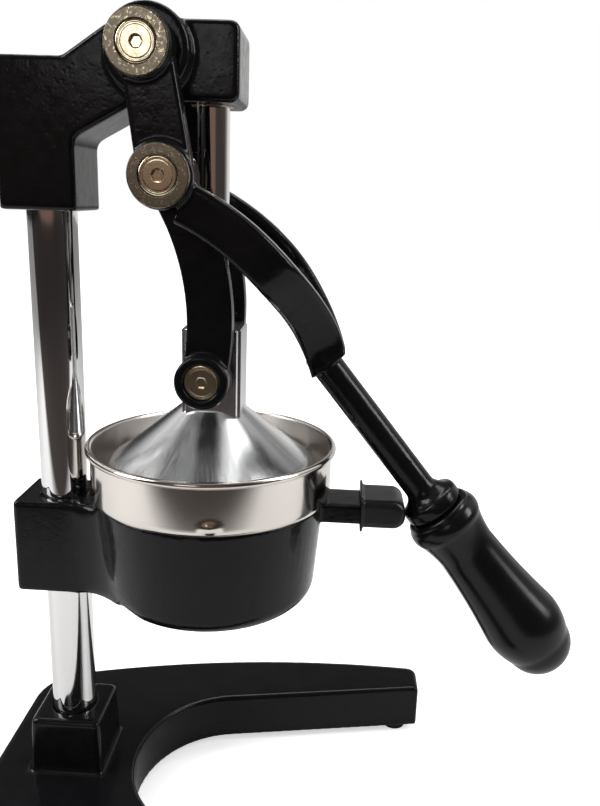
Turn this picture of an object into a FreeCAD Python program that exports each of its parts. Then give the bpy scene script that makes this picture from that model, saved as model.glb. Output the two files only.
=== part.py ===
import FreeCAD
import Part
import math
import os
import re

import Sketcher
from FreeCAD import Placement, Rotation, Vector

# Lever citrus press, in millimetres.
# X points from the column to the lever's grip, Y to the far side, Z up.
# Heights are measured from the table, lengths along X from the plunger's axis.

SIZES = {
    # running and seating clearances
    "running_fit": 0.05,
    "seat_fit": 0.05,
    "side_gap": 0.3,

    # rubber feet
    "foot_standout": 4.0,
    "foot_diameter": 14.0,
    "foot_screw_diameter": 4.0,
    "foot_screw_head_diameter": 7.5,
    "foot_screw_head_height": 1.6,
    "foot_screw_length": 12.0,
    "front_foot_inset": 14.0,
    "front_foot_side_inset": 16.0,
    "rear_foot_inset": 20.0,
    "rear_foot_side_inset": 27.0,

    # horseshoe base
    "base_thickness": 28.0,
    "base_wall": 7.0,
    "base_rear_reach": 118.0,
    "base_front_reach": 123.5,
    "base_rear_half_width": 67.0,
    "base_front_half_width": 100.0,
    "base_side_radius": 600.0,
    "base_rear_corner": 30.0,
    "base_hollow_corner": 18.0,
    "base_hollow_flare": 6.0,
    "leg_tip_round": 6.0,
    "leg_splay": 10.3,
    "glass_bay_x": 14.0,
    "glass_bay_radius": 56.0,
    "base_edge_round": 2.5,
    "pedestal_width": 39.5,
    "pedestal_height": 31.5,
    "pedestal_draft": 2.5,
    "pedestal_round": 2.5,

    # column and its bolt
    "column_gap": 2.7,
    "column_diameter": 23.0,
    "column_foot": 24.0,
    "column_cap": 8.2,
    "column_floor": 8.0,
    "column_bolt_diameter": 10.0,
    "column_bolt_length": 34.0,
    "column_bolt_head_diameter": 16.0,
    "column_bolt_head_height": 6.4,
    "column_washer_diameter": 22.0,
    "column_washer_thickness": 2.0,

    # cup holder on the column
    "holder_foot": 139.5,
    "holder_height": 53.1,
    "holder_top_wall": 6.0,
    "holder_foot_wall": 7.9,
    "holder_foot_round": 9.0,
    "holder_floor": 7.0,
    "holder_mouth_gap": 0.4,
    "holder_draft": 5.7,
    "holder_drain_radius": 24.0,
    "arm_height": 49.0,
    "arm_half_width": 18.0,
    "arm_rear_wall": 9.5,
    "arm_blend": 40.0,
    "arm_edge_round": 2.0,
    "set_screw_diameter": 8.0,
    "set_screw_length": 9.0,

    # stop lug and its rubber boot
    "lug_width": 24.0,
    "lug_thickness": 9.5,
    "boot_gap": 0.5487,
    "boot_depth": 16.5,
    "boot_under_wall": 1.6,
    "boot_over_wall": 3.3,
    "boot_end_wall": 5.85,
    "boot_side_wall": 1.6,
    "boot_round": 3.0,
    "boot_end_round": 6.0,
    "boot_lip": 1.8,
    "boot_lip_thickness": 1.4,

    # bowl of pressed sheet
    "bowl_wall_radius": 60.0,
    "bowl_wall_height": 25.1,
    "bowl_bend": 3.2,
    "bowl_bead_radius": 1.7,
    "bowl_sheet": 1.2,
    "bowl_shelf": 9.2,
    "bowl_neck_depth": 31.0,
    "bowl_neck_taper": 4.6,
    "bowl_funnel_drop": 9.0,
    "bowl_spout_radius": 11.0,
    "bowl_spout_drop": 16.0,
    "bowl_dimple_radius": 5.2,
    "bowl_dimple_height": 1.2,
    "bowl_dimple_rise": 5.3,
    "bowl_dimple_count": 3,

    # perforated reamer cone
    "reamer_flange_gap": 0.8,
    "reamer_base_gap": 4.8,
    "reamer_tip_radius": 5.0,
    "reamer_tip_flat": 2.0,
    "reamer_tip_depth": 2.0,
    "reamer_tip_gap": 2.1,
    "reamer_sheet": 1.2,
    "reamer_hole_diameter": 4.0,
    "reamer_hole_pitch": 8.0,
    "reamer_hole_rows": 3,
    "reamer_hole_count": 16,
    "reamer_rib_count": 8,
    "reamer_rib_width": 2.4,
    "reamer_rib_height": 1.6,
    "reamer_rib_root": 3.0,

    # press cone and its block
    "press_lip_rise": 8.2,
    "press_side_gap": 6.3,
    "press_lip_depth": 5.0,
    "press_shoulder_inset": 5.5,
    "press_shoulder_rise": 11.0,
    "press_shoulder_curve": 9.5,
    "press_neck_radius": 15.5,
    "press_neck_rise": 36.0,
    "press_wall": 4.0,
    "block_length": 30.6,
    "block_width": 28.0,
    "block_rise": 75.6,
    "block_round": 2.0,
    "block_root": 5.2,

    # plunger rod
    "rod_diameter": 15.0,
    "rod_socket_depth": 19.6,
    "rod_sink": 3.8,
    "bush_wall": 2.0,

    # head casting
    "head_width": 38.2,
    "head_leg_drop": 66.7,
    "head_leg_half": 17.3,
    "head_crook_drop": 35.5,
    "head_leg_top_drop": 1.8,
    "head_slope_foot_x": 62.8,
    "head_slope_top_x": 43.5,
    "head_slope_rise": 11.0,
    "head_nose_rear_x": 15.8,
    "head_nose_rise": 13.8,
    "head_nose_reach": 14.0,
    "head_nose_drop": 19.2,
    "head_nose_foot_rear_x": 29.0,
    "head_nose_round": 4.0,
    "head_crook_round": 6.0,
    "head_edge_round": 2.0,

    # top pivot
    "top_pivot_x": 24.0,
    "hub_radius": 18.6,
    "pivot_bolt_diameter": 12.0,
    "pivot_head_diameter": 16.4,
    "pivot_head_height": 2.4,
    "pivot_socket_width": 4.6,
    "pivot_socket_depth": 1.8,
    "washer_radius": 13.1,
    "washer_thickness": 3.0,

    # crank, the short arm of the lever
    "crank_length": 51.1,
    "crank_angle": 9.0,
    "crank_rear_top": 9.2,
    "crank_front_top": 12.7,
    "crank_rear_foot": 10.5,
    "crank_front_foot": 13.6,
    "crank_thickness": 8.6,
    "crank_edge_round": 1.6,
    "eye_radius": 13.6,
    "eye_thickness": 11.6,
    "elbow_radius": 14.0,

    # fork arms, bar and collar of the lever
    "fork_depth": 18.7,
    "fork_thickness": 9.6,
    "fork_radius": 118.0,
    "fork_start_angle": 24.4,
    "fork_turn": 49.2,
    "fork_start_forward": 8.4535,
    "fork_start_drop": 10.5847,
    "fork_square_share": 0.3,
    "fork_corner": 2.4,
    "fork_parallel_share": 0.42,
    "fork_closing_share": 0.5,
    "fork_end_depth": 20.3,
    "fork_end_thickness": 8.4,
    "fork_end_overlap": 0.2,
    "bar_angle": 51.0,
    "bar_root_forward": 0.6,
    "bar_root_drop": 2.3,
    "bar_radius": 7.8,
    "bar_length": 81.5,
    "bar_sink": 10.0,
    "bar_flare_length": 6.0,
    "bar_flare_rise": 3.0,
    "bar_flare_lip": 1.5,
    "bar_flare_curve": 9.0,
    "bar_flare_turn": 12.0,
    "collar_radius": 15.0,
    "collar_thickness": 8.6,
    "collar_round": 2.6,
    "spigot_radius": 5.0,
    "spigot_length": 62.0,

    # turned grip
    "grip_length": 108.0,
    "grip_lip_radius": 17.2,
    "grip_flare_radius": 18.9,
    "grip_flare_at": 5.5,
    "grip_neck_radius": 15.3,
    "grip_neck_at": 26.0,
    "grip_belly_radius": 20.3,
    "grip_belly_at": 74.0,
    "grip_cheek_radius": 17.7,
    "grip_cheek_at": 92.0,
    "grip_cap_radius": 5.5,
    "grip_cap_depth": 1.0,
    "grip_end_flat": 2.5,
    "grip_lip_round": 2.0,
    "grip_flare_width": 6.0,
    "grip_flare_fall": 1.0,
    "grip_flare_curve": 9.0,
    "grip_waist_curve": 62.0,
    "grip_belly_curve": 380.0,
    "grip_cheek_curve": 34.0,
    "grip_cap_curve": 16.0,

    # connecting rods
    "link_length": 90.5,
    "link_width": 20.4,
    "link_thickness": 9.0,
    "link_bow": 9.2,
    "link_eye_radius": 13.4,
    "link_boss_radius": 12.4,
    "link_boss_standout": 5.9,
    "link_neck_radius": 9.0,
    "wrist_rise": 54.4558,
    "link_edge_round": 1.4,
    "head_side_gap": 0.5,
    "low_bolt_recess": 1.6,
}

# Places that follow from the sizes, as formulas of the names in both sheets.
LAYOUT = {
    # base and feet
    "base_foot": "foot_standout",
    "base_top": "foot_standout + base_thickness",
    "pedestal_top": "base_top + pedestal_height",
    "front_foot_x": "base_front_reach - front_foot_inset",
    "front_foot_y": "base_front_half_width - front_foot_side_inset",
    "rear_foot_x": "base_rear_reach - rear_foot_inset",
    "rear_foot_y": "base_rear_half_width - rear_foot_side_inset",

    # the column stands behind the bowl's rim, and the arm reaches behind the column
    "column_offset": "bowl_wall_radius + 2 * bowl_bead_radius - bowl_sheet + column_gap"
                     " + column_diameter / 2",
    "arm_rear_reach": "column_offset + column_diameter / 2 + arm_rear_wall",

    # bowl, and the cup that it hangs in
    "holder_top": "holder_foot + holder_height",
    "bowl_floor": "holder_top + bowl_sheet",
    "bowl_brim": "holder_top + bowl_wall_height",
    "bowl_neck_radius": "bowl_wall_radius - bowl_shelf",
    "neck_foot": "holder_top - bowl_neck_depth",
    "holder_mouth_radius": "bowl_neck_radius + holder_mouth_gap",
    "holder_floor_radius": "holder_mouth_radius - holder_draft",
    "holder_top_radius": "holder_mouth_radius + holder_top_wall",
    "holder_foot_radius": "holder_floor_radius + holder_foot_wall",

    # reamer inside the bowl, press cone over the reamer
    "reamer_flange_radius": "bowl_wall_radius - bowl_bend - reamer_flange_gap",
    "reamer_base_radius": "bowl_neck_radius - reamer_base_gap",
    "reamer_height": "press_lip_rise + press_neck_rise - 1.4 * press_wall - reamer_tip_gap",
    "press_lip_height": "bowl_floor + press_lip_rise",
    "press_lip_radius": "bowl_wall_radius - bowl_sheet - press_side_gap",
    "press_shoulder_radius": "press_lip_radius - press_shoulder_inset",
    "block_top": "press_lip_height + block_rise",

    # the linkage stands on the press cone: wrist, elbow, then the top pivot
    "link_angle": "asin((crank_length * sin(crank_angle) - top_pivot_x) / link_length)",
    "wrist_height": "press_lip_height + wrist_rise",
    "elbow_x": "crank_length * sin(crank_angle) - top_pivot_x",
    "elbow_height": "wrist_height + link_length * cos(link_angle)",
    "top_pivot_height": "elbow_height + crank_length * cos(crank_angle)",

    # the head is cast round the top pivot, on the column and over the rod
    "head_leg_foot": "top_pivot_height - head_leg_drop",
    "head_crook": "top_pivot_height - head_crook_drop",
    "head_leg_top": "top_pivot_height - head_leg_top_drop",
    "head_slope_top": "top_pivot_height + head_slope_rise",
    "head_nose_top": "top_pivot_height + head_nose_rise",
    "head_nose_foot": "top_pivot_height - head_nose_drop",
    "column_length": "head_leg_top - column_cap - column_foot",
    "rod_length": "head_nose_top - rod_sink - block_top + rod_socket_depth",

    # layers across the press, from the head outwards
    "hub_standout": "head_side_gap + link_thickness",
    "hub_face": "head_width / 2 + hub_standout",
    "fork_inner": "hub_face + side_gap",
    "eye_face": "fork_inner + eye_thickness",
    "washer_seat": "eye_face + side_gap",
    "washer_face": "washer_seat + washer_thickness",
    "link_inner": "head_width / 2 + head_side_gap",
    "link_outer": "link_inner + link_thickness",
    "link_boss_outer": "link_outer + link_boss_standout",
    "boss_inner": "block_width / 2 + side_gap",

    # fork arms from the elbow, then the bar
    "fork_end_angle": "fork_start_angle + fork_turn",
    "fork_end_offset": "fork_end_thickness / 2 - fork_end_overlap",
    "fork_root_x": "elbow_x + fork_start_forward"
                   " + fork_radius * (sin(fork_end_angle) - sin(fork_start_angle))",
    "fork_root_height": "elbow_height - fork_start_drop"
                        " + fork_radius * (cos(fork_end_angle) - cos(fork_start_angle))",
    "bar_root_x": "fork_root_x + bar_root_forward",
    "bar_root_height": "fork_root_height - bar_root_drop",

    # the boot ends just short of the resting bar
    "boot_top": "holder_top - side_gap + boot_over_wall",
    "bar_under_x": "bar_root_x + (bar_root_height - boot_top) / tan(bar_angle)"
                   " - bar_radius / sin(bar_angle)",
    "lug_reach": "bar_under_x - boot_gap - boot_end_wall",
    "boot_start": "lug_reach - boot_depth",
}

SIDES = {"near": -1, "far": 1}

doc = FreeCAD.newDocument("LeverCitrusPress")
nodes = []


def fill_sheet(name, rows):
    sheet = doc.addObject("Spreadsheet::Sheet", name)
    for number, (alias, content) in enumerate(rows.items(), start=1):
        sheet.set("A%d" % number, alias)
        sheet.set("B%d" % number, str(content))
        sheet.setAlias("B%d" % number, alias)
    return sheet


def bound(text, own=""):
    """Put the sheet's name in front of every alias that isn't in the own sheet."""
    def prefix(match):
        word = match.group(0)
        if word in SIZES:
            return "Sizes." + word
        if word in LAYOUT and own != "Layout":
            return "Layout." + word
        return word
    return re.sub(r"[a-z][a-z_]*[a-z]", prefix, str(text))


sizes = fill_sheet("Sizes", SIZES)
doc.recompute()
layout = fill_sheet("Layout", {name: "=" + bound(formula, "Layout")
                               for name, formula in LAYOUT.items()})
doc.recompute()


def value(text):
    """The number that an expression of sheet names stands for."""
    number = sizes.evalExpression(bound(text))
    return float(getattr(number, "Value", number))


def bind(thing, **properties):
    """Bind properties to expressions; a double underscore stands for a dot."""
    for name, text in properties.items():
        thing.setExpression(name.replace("__", "."), bound(text))


def node(thing, label):
    """Name a finished sub-part: its label is also its file's name."""
    thing.Label = label
    nodes.append(thing)
    return thing


# Sketches and PartDesign features

def new_body(name):
    return doc.addObject("PartDesign::Body", name)


def attach(sketch, body, role, offset="0"):
    plane = [part for part in body.Origin.OriginFeatures if part.Role == role][0]
    sketch.AttachmentSupport = [(plane, "")]
    sketch.MapMode = "FlatFace"
    if offset != "0":
        sketch.setExpression("AttachmentOffset.Base.z", bound(offset))


def arc_between(start, end, radius, side):
    """The arc of this radius from start to end that bulges to one side of the chord."""
    chord = end - start
    middle = (start + end) * 0.5
    normal = Vector(-chord.y, chord.x, 0).normalize() * side
    rise = math.sqrt(max(radius ** 2 - (chord.Length / 2) ** 2, 0))
    crown = middle + normal * (radius - rise)
    return Part.Arc(start, crown, end)


def outline(body, name, role, points, offset="0"):
    """A closed sketch. Each point is (x, y) or, where an arc leads to it,
    (x, y, radius, side); every coordinate and radius is bound to the sheet."""
    sketch = body.newObject("Sketcher::SketchObject", name)
    attach(sketch, body, role, offset)
    places = [Vector(value(point[0]), value(point[1]), 0) for point in points]
    shapes = []
    for index, point in enumerate(points):
        start = places[index - 1]
        if len(point) == 2:
            shapes.append(Part.LineSegment(start, places[index]))
        else:
            shapes.append(arc_between(start, places[index], value(point[2]), point[3]))
    sketch.addGeometry(shapes, False)
    ends = []
    for index in range(len(points)):
        backwards = (sketch.getPoint(index, 1) - places[index - 1]).Length > 1e-6
        ends.append((2, 1) if backwards else (1, 2))
    count = len(points)
    for index in range(count):
        after = (index + 1) % count
        sketch.addConstraint(Sketcher.Constraint(
            "Coincident", index, ends[index][1], after, ends[after][0]))
    for index, point in enumerate(points):
        for kind, text, coordinate in (("DistanceX", point[0], places[index].x),
                                       ("DistanceY", point[1], places[index].y)):
            number = sketch.addConstraint(Sketcher.Constraint(
                kind, -1, 1, index, ends[index][1], coordinate))
            if re.search("[a-z]", str(text)):
                sketch.setExpression("Constraints[%d]" % number, bound(text))
        if len(point) == 4:
            number = sketch.addConstraint(Sketcher.Constraint(
                "Radius", index, value(point[2])))
            sketch.setExpression("Constraints[%d]" % number, bound(point[2]))
    return sketch


def round_cornered(left, right, low, high, bend):
    """Points of a rectangle with four round corners, for an outline."""
    return [
        (right + " - " + bend, low),
        (right, low + " + " + bend, bend, -1),
        (right, high + " - " + bend),
        (right + " - " + bend, high, bend, -1),
        (left + " + " + bend, high),
        (left, high + " - " + bend, bend, -1),
        (left, low + " + " + bend),
        (left + " + " + bend, low, bend, -1),
    ]


def circles(body, name, role, rings, offset="0"):
    """A sketch of circles, each given as (x, y, radius)."""
    sketch = body.newObject("Sketcher::SketchObject", name)
    attach(sketch, body, role, offset)
    for index, (x, y, radius) in enumerate(rings):
        centre = Vector(value(x), value(y), 0)
        sketch.addGeometry(Part.Circle(centre, Vector(0, 0, 1), value(radius)), False)
        for constraint, text in (
                (Sketcher.Constraint("DistanceX", -1, 1, index, 3, centre.x), x),
                (Sketcher.Constraint("DistanceY", -1, 1, index, 3, centre.y), y),
                (Sketcher.Constraint("Radius", index, value(radius)), radius)):
            number = sketch.addConstraint(constraint)
            if re.search("[a-z]", str(text)):
                sketch.setExpression("Constraints[%d]" % number, bound(text))
    return sketch


def pad(body, name, sketch, length, middle=False, draft=None):
    feature = body.newObject("PartDesign::Pad", name)
    feature.Profile = sketch
    feature.SideType = "Symmetric" if middle else "One side"
    bind(feature, Length=length)
    if draft:
        bind(feature, TaperAngle="-(" + draft + ")")
    doc.recompute()
    return feature


def pocket(body, name, sketch, length=None, up=False):
    """A cut along the sketch's normal, away from it, or towards it with up."""
    feature = body.newObject("PartDesign::Pocket", name)
    feature.Profile = sketch
    if length is None:
        feature.SideType = "Two sides"
        feature.Type = "ThroughAll"
        feature.Type2 = "ThroughAll"
    else:
        bind(feature, Length=length)
        feature.Reversed = up
    before = body.Shape.Volume
    doc.recompute()
    if not body.Shape.Volume < before - 1e-3:
        raise RuntimeError(name + " cuts nothing")
    return feature


def turn(body, name, sketch, axis="V_Axis", cut=False):
    kind = "PartDesign::Groove" if cut else "PartDesign::Revolution"
    feature = body.newObject(kind, name)
    feature.Profile = sketch
    feature.ReferenceAxis = (sketch, [axis])
    feature.Angle = 360
    before = body.Shape.Volume if cut else 0
    doc.recompute()
    if cut and not body.Shape.Volume < before - 1e-3:
        raise RuntimeError(name + " cuts nothing")
    return feature


def edges_where(feature, test):
    """Names of a feature's edges whose points all pass a test."""
    names = []
    for number, edge in enumerate(feature.Shape.Edges, start=1):
        spots = [edge.valueAt(edge.FirstParameter + share
                              * (edge.LastParameter - edge.FirstParameter))
                 for share in (0.1, 0.5, 0.9)]
        if all(test(spot) for spot in spots):
            names.append("Edge%d" % number)
    return names


def round_edges(body, name, base, radius, test):
    feature = body.newObject("PartDesign::Fillet", name)
    feature.Base = (base, edges_where(base, test))
    bind(feature, Radius=radius)
    doc.recompute()
    return feature


def near(number, text, slack=0.02):
    return abs(number - value(text)) < slack


# Part primitives

def rod(name, radius, length, x="0", y="0", z="0", along="Z"):
    """A cylinder that starts at a point and runs along an axis."""
    cylinder = doc.addObject("Part::Cylinder", name)
    bind(cylinder, Radius=radius, Height=length)
    turns = {"Z": Rotation(), "Y": Rotation(Vector(1, 0, 0), -90),
             "-Y": Rotation(Vector(1, 0, 0), 90), "X": Rotation(Vector(0, 1, 0), 90),
             "-Z": Rotation(Vector(1, 0, 0), 180)}
    cylinder.Placement = Placement(Vector(), turns[along])
    bind(cylinder, Placement__Base__x=x, Placement__Base__y=y, Placement__Base__z=z)
    return cylinder


def join(name, shapes):
    fused = doc.addObject("Part::MultiFuse", name)
    fused.Shapes = shapes
    return fused


def cut(name, base, tool):
    result = doc.addObject("Part::Cut", name)
    result.Base = base
    result.Tool = tool
    return result


def group(name, shapes):
    compound = doc.addObject("Part::Compound", name)
    compound.Links = shapes
    return compound


# Base, column and feet

def shoe_points(inset, bend=None):
    """The horseshoe's outline, drawn in from its edge by an inset. Its rear
    corners are sharp, or arcs where a bend radius is given."""
    side = "(base_side_radius - " + inset + ")"
    rear = "-(base_rear_reach - " + inset + ")"
    front = "(base_front_reach - " + inset + ")"
    rear_y = "(base_rear_half_width - " + inset + ")"
    front_y = "(base_front_half_width - " + inset + ")"
    bay = "(glass_bay_radius + " + inset + ")"
    bay_x = "(glass_bay_x - " + bay + " * sin(leg_splay))"
    bay_y = "(" + bay + " * cos(leg_splay))"
    tip_y = "(" + bay_y + " + (" + front + " - " + bay_x + ") * tan(leg_splay))"
    legs = [
        (front, "-" + front_y, side, -1),
        (front, "-" + tip_y),
        (bay_x, "-" + bay_y),
        ("glass_bay_x - " + bay, "0", bay, 1),
        (bay_x, bay_y, bay, 1),
        (front, tip_y),
        (front, front_y),
    ]
    if bend is None:
        return [(rear, "-" + rear_y)] + legs + [(rear, rear_y, side, -1)]
    late_x = "(" + rear + " + base_hollow_corner)"
    late_y = "(" + rear_y + " + base_hollow_flare)"
    early_y = "(" + rear_y + " - base_hollow_corner)"
    return ([(rear, "-" + early_y), (late_x, "-" + late_y, bend, -1)] + legs
            + [(late_x, late_y, side, -1), (rear, early_y, bend, -1)])


def make_base():
    body = new_body("Base")
    shoe = outline(body, "BaseOutline", "XY_Plane", shoe_points("0"), "base_foot")
    plate = pad(body, "BasePlate", shoe, "base_thickness")
    rear = round_edges(body, "RearCorners", plate, "base_rear_corner",
                       lambda p: near(p.x, "-base_rear_reach") and abs(p.y) > 1
                       and value("base_foot") + 1 < p.z < value("base_top") - 1)
    tips = round_edges(body, "LegTips", rear, "leg_tip_round",
                       lambda p: near(p.x, "base_front_reach")
                       and near(abs(p.y), "base_front_half_width"))
    round_edges(body, "TopRim", tips, "base_edge_round",
                lambda p: near(p.z, "base_top"))
    hollow = outline(body, "UndersideOutline", "XY_Plane",
                     shoe_points("base_wall", "(base_rear_corner - base_wall)"), "base_foot")
    pocket(body, "Underside", hollow, "base_thickness - base_wall", up=True)
    half = "(pedestal_width / 2)"
    square = outline(body, "PedestalOutline", "XY_Plane", [
        ("-column_offset - " + half, "-" + half), ("-column_offset + " + half, "-" + half),
        ("-column_offset + " + half, half), ("-column_offset - " + half, half),
    ], "base_top")
    pedestal = pad(body, "Pedestal", square, "pedestal_height", draft="pedestal_draft")
    round_edges(body, "PedestalCorners", pedestal, "pedestal_round",
                lambda p: p.z > value("base_top") + 0.2
                and abs(p.x + value("column_offset")) < value("pedestal_width") / 2
                and abs(p.y) < value("pedestal_width") / 2)
    posts = circles(body, "PostRings", "XY_Plane",
                    [("-column_offset", "0", "pedestal_width / 2")],
                    "column_foot - column_floor")
    pad(body, "ColumnPost", posts, "base_top - column_foot + column_floor - 1")
    bosses = circles(body, "FootBossRings", "XY_Plane",
                     [(x, y, "foot_diameter / 2 + 1.5") for x, y in foot_places()],
                     "base_foot")
    pad(body, "FootBosses", bosses, "base_thickness - 1")
    bore = circles(body, "ColumnSocket", "XY_Plane",
                   [("-column_offset", "0", "column_diameter / 2 + seat_fit")],
                   "column_foot")
    pocket(body, "ColumnBore", bore, "base_top + pedestal_height - column_foot + 1", up=True)
    tapped = circles(body, "ScrewHoleRings", "XY_Plane",
                     [(x, y, "foot_screw_diameter / 2 + seat_fit")
                      for x, y in foot_places()], "base_foot")
    pocket(body, "FootScrewHoles", tapped,
           "foot_screw_length - foot_standout + foot_screw_head_height + 1", up=True)
    drilled = circles(body, "BoltHoleRing", "XY_Plane",
                      [("-column_offset", "0", "column_bolt_diameter / 2 + seat_fit")],
                      "column_foot - column_floor")
    pocket(body, "BoltHole", drilled, "column_floor + 1", up=True)
    return node(body, "base_casting")


def foot_places():
    """The four rubber feet, as pairs of expressions."""
    return [(x, y) for x, reach in (("front_foot_x", "front_foot_y"),
                                    ("-rear_foot_x", "rear_foot_y"))
            for y in ("-" + reach, reach)]


def make_feet():
    pads = []
    screws = []
    for number, (x, y) in enumerate(foot_places(), start=1):
        blank = rod("FootBlank%d" % number, "foot_diameter / 2", "foot_standout", x, y)
        sink = rod("FootSink%d" % number, "foot_screw_head_diameter / 2 + side_gap",
                   "foot_standout / 2", x, y)
        bore = rod("FootBore%d" % number, "foot_screw_diameter / 2 + seat_fit",
                   "foot_standout", x, y)
        hollow = join("FootHollow%d" % number, [sink, bore])
        pads.append(cut("Foot%d" % number, blank, hollow))
        crown = rod("FootScrewHead%d" % number, "foot_screw_head_diameter / 2",
                    "foot_screw_head_height", x, y,
                    "foot_standout / 2 - foot_screw_head_height")
        shank = rod("FootScrewShank%d" % number, "foot_screw_diameter / 2",
                    "foot_screw_length", x, y,
                    "foot_standout / 2 - foot_screw_head_height")
        screws.append(join("FootScrew%d" % number, [crown, shank]))
    node(group("Feet", pads), "rubber_feet")
    node(group("FootScrews", screws), "foot_screws")


def make_column():
    tube = rod("ColumnBar", "column_diameter / 2", "column_length",
               "-column_offset", z="column_foot")
    thread = rod("ColumnThread", "column_bolt_diameter / 2 + seat_fit",
                 "column_bolt_length - column_floor", "-column_offset", z="column_foot")
    node(cut("Column", tube, thread), "column")
    floor = "column_foot - column_floor"
    ring = rod("ColumnWasherBlank", "column_washer_diameter / 2",
               "column_washer_thickness", "-column_offset",
               z=floor + " - column_washer_thickness")
    ring_hole = rod("ColumnWasherHole", "column_bolt_diameter / 2 + seat_fit",
                    "column_washer_thickness", "-column_offset",
                    z=floor + " - column_washer_thickness")
    node(cut("ColumnWasher", ring, ring_hole), "column_washer")
    crown_z = floor + " - column_washer_thickness - column_bolt_head_height"
    crown = doc.addObject("Part::Prism", "ColumnBoltHead")
    crown.Polygon = 6
    bind(crown, Circumradius="column_bolt_head_diameter / 2 / cos(30)",
         Height="column_bolt_head_height", Placement__Base__x="-column_offset",
         Placement__Base__z=crown_z)
    shank = rod("ColumnBoltShank", "column_bolt_diameter / 2",
                "column_bolt_length - 2 + column_bolt_head_height + column_washer_thickness",
                "-column_offset", z=crown_z)
    node(join("ColumnBolt", [crown, shank]), "column_bolt")


# Cup holder, its set screw and the stop boot

def make_holder():
    body = new_body("Holder")
    wall = "holder_foot_radius"
    centre_y = "(arm_half_width + arm_blend)"
    centre_x = "sqrt((" + wall + " + arm_blend)^2 - " + centre_y + "^2)"
    share = wall + " / (" + wall + " + arm_blend)"
    meet_x = "-" + centre_x + " * " + share
    meet_y = centre_y + " * " + share
    plan = outline(body, "ArmOutline", "XY_Plane", [
        ("-arm_rear_reach", "-arm_half_width"),
        ("-" + centre_x, "-arm_half_width"),
        (meet_x, "-" + meet_y, "arm_blend", 1),
        (meet_x, meet_y),
        ("-" + centre_x, "arm_half_width", "arm_blend", 1),
        ("-arm_rear_reach", "arm_half_width"),
    ], "holder_foot")
    arm = pad(body, "Arm", plan, "arm_height")
    round_edges(body, "ArmEdges", arm, "arm_edge_round",
                lambda p: not near(p.x, meet_x)
                and (near(p.z, "holder_foot") or near(p.z, "holder_foot + arm_height")
                     or near(p.x, "-arm_rear_reach")))
    cup = outline(body, "CupProfile", "XZ_Plane", [
        ("0", "holder_foot"),
        ("holder_foot_radius - holder_foot_round", "holder_foot"),
        ("holder_foot_radius", "holder_foot + holder_foot_round", "holder_foot_round", -1),
        ("holder_top_radius", "holder_top"),
        ("0", "holder_top"),
    ])
    turn(body, "Cup", cup)
    half = "(lug_width / 2)"
    plate = outline(body, "LugOutline", "XY_Plane", [
        ("holder_mouth_radius + 1", "-" + half), ("lug_reach", "-" + half),
        ("lug_reach", half), ("holder_mouth_radius + 1", half),
    ], "holder_top - lug_thickness - side_gap")
    pad(body, "Lug", plate, "lug_thickness")
    hollow = outline(body, "CupHollow", "XZ_Plane", [
        ("0", "holder_foot - 1"), ("holder_drain_radius", "holder_foot - 1"),
        ("holder_drain_radius", "holder_foot + holder_floor"),
        ("holder_floor_radius", "holder_foot + holder_floor"),
        ("holder_mouth_radius", "holder_top + 1"), ("0", "holder_top + 1"),
    ])
    turn(body, "CupCavity", hollow, cut=True)
    bore = circles(body, "ArmBoreRing", "XY_Plane",
                   [("-column_offset", "0", "column_diameter / 2 + seat_fit")],
                   "holder_foot")
    pocket(body, "ArmBore", bore)
    side = circles(body, "SetScrewRing", "YZ_Plane",
                   [("0", "holder_foot + arm_height / 2",
                     "set_screw_diameter / 2 + seat_fit")], "-arm_rear_reach")
    pocket(body, "SetScrewHole", side, "arm_rear_reach - column_offset", up=True)
    return node(body, "cup_holder")


def grub(name, height):
    """A socket set screw that bears on the back of the column."""
    tip = "-column_offset - column_diameter / 2 - set_screw_length"
    blank = rod(name + "Blank", "set_screw_diameter / 2", "set_screw_length",
                tip, z=height, along="X")
    socket = doc.addObject("Part::Prism", name + "Socket")
    socket.Polygon = 6
    socket.Placement = Placement(Vector(), Rotation(Vector(0, 1, 0), 90))
    bind(socket, Circumradius="set_screw_diameter / 4", Height="set_screw_length / 3",
         Placement__Base__x=tip, Placement__Base__z=height)
    return cut(name, blank, socket)


def make_boot():
    body = new_body("Boot")
    low = "(holder_top - side_gap - lug_thickness - boot_under_wall)"
    high = "boot_top"
    end = "(lug_reach + boot_end_wall)"
    side = outline(body, "BootSide", "XZ_Plane", [
        ("boot_start", low), (end + " - boot_end_round", low),
        (end, low + " + boot_end_round", "boot_end_round", -1),
        (end, high + " - boot_end_round"),
        (end + " - boot_end_round", high, "boot_end_round", -1),
        ("boot_start", high),
    ])
    shape = pad(body, "BootBlock", side, "lug_width + 2 * boot_side_wall", middle=True)
    round_edges(body, "BootEdges", shape, "boot_round",
                lambda p: near(abs(p.y), "lug_width / 2 + boot_side_wall")
                and p.x > value("boot_start") + 0.01)
    wide = "(lug_width / 2 + boot_side_wall + boot_lip)"
    under = "(" + low + " - boot_lip)"
    over = "(" + high + " + boot_lip)"
    collar = outline(body, "LipSection", "YZ_Plane",
                     round_cornered("-" + wide, wide, under, over, "boot_round"),
                     "boot_start")
    pad(body, "Lip", collar, "boot_lip_thickness")
    slot = outline(body, "LugSlot", "YZ_Plane", [
        ("-lug_width / 2 - seat_fit", "holder_top - side_gap - lug_thickness - seat_fit"),
        ("lug_width / 2 + seat_fit", "holder_top - side_gap - lug_thickness - seat_fit"),
        ("lug_width / 2 + seat_fit", "holder_top - side_gap + seat_fit"),
        ("-lug_width / 2 - seat_fit", "holder_top - side_gap + seat_fit"),
    ], "boot_start")
    pocket(body, "Slot", slot, "lug_reach - boot_start", up=True)
    return node(body, "bumper_boot")


# Bowl and reamer

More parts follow.
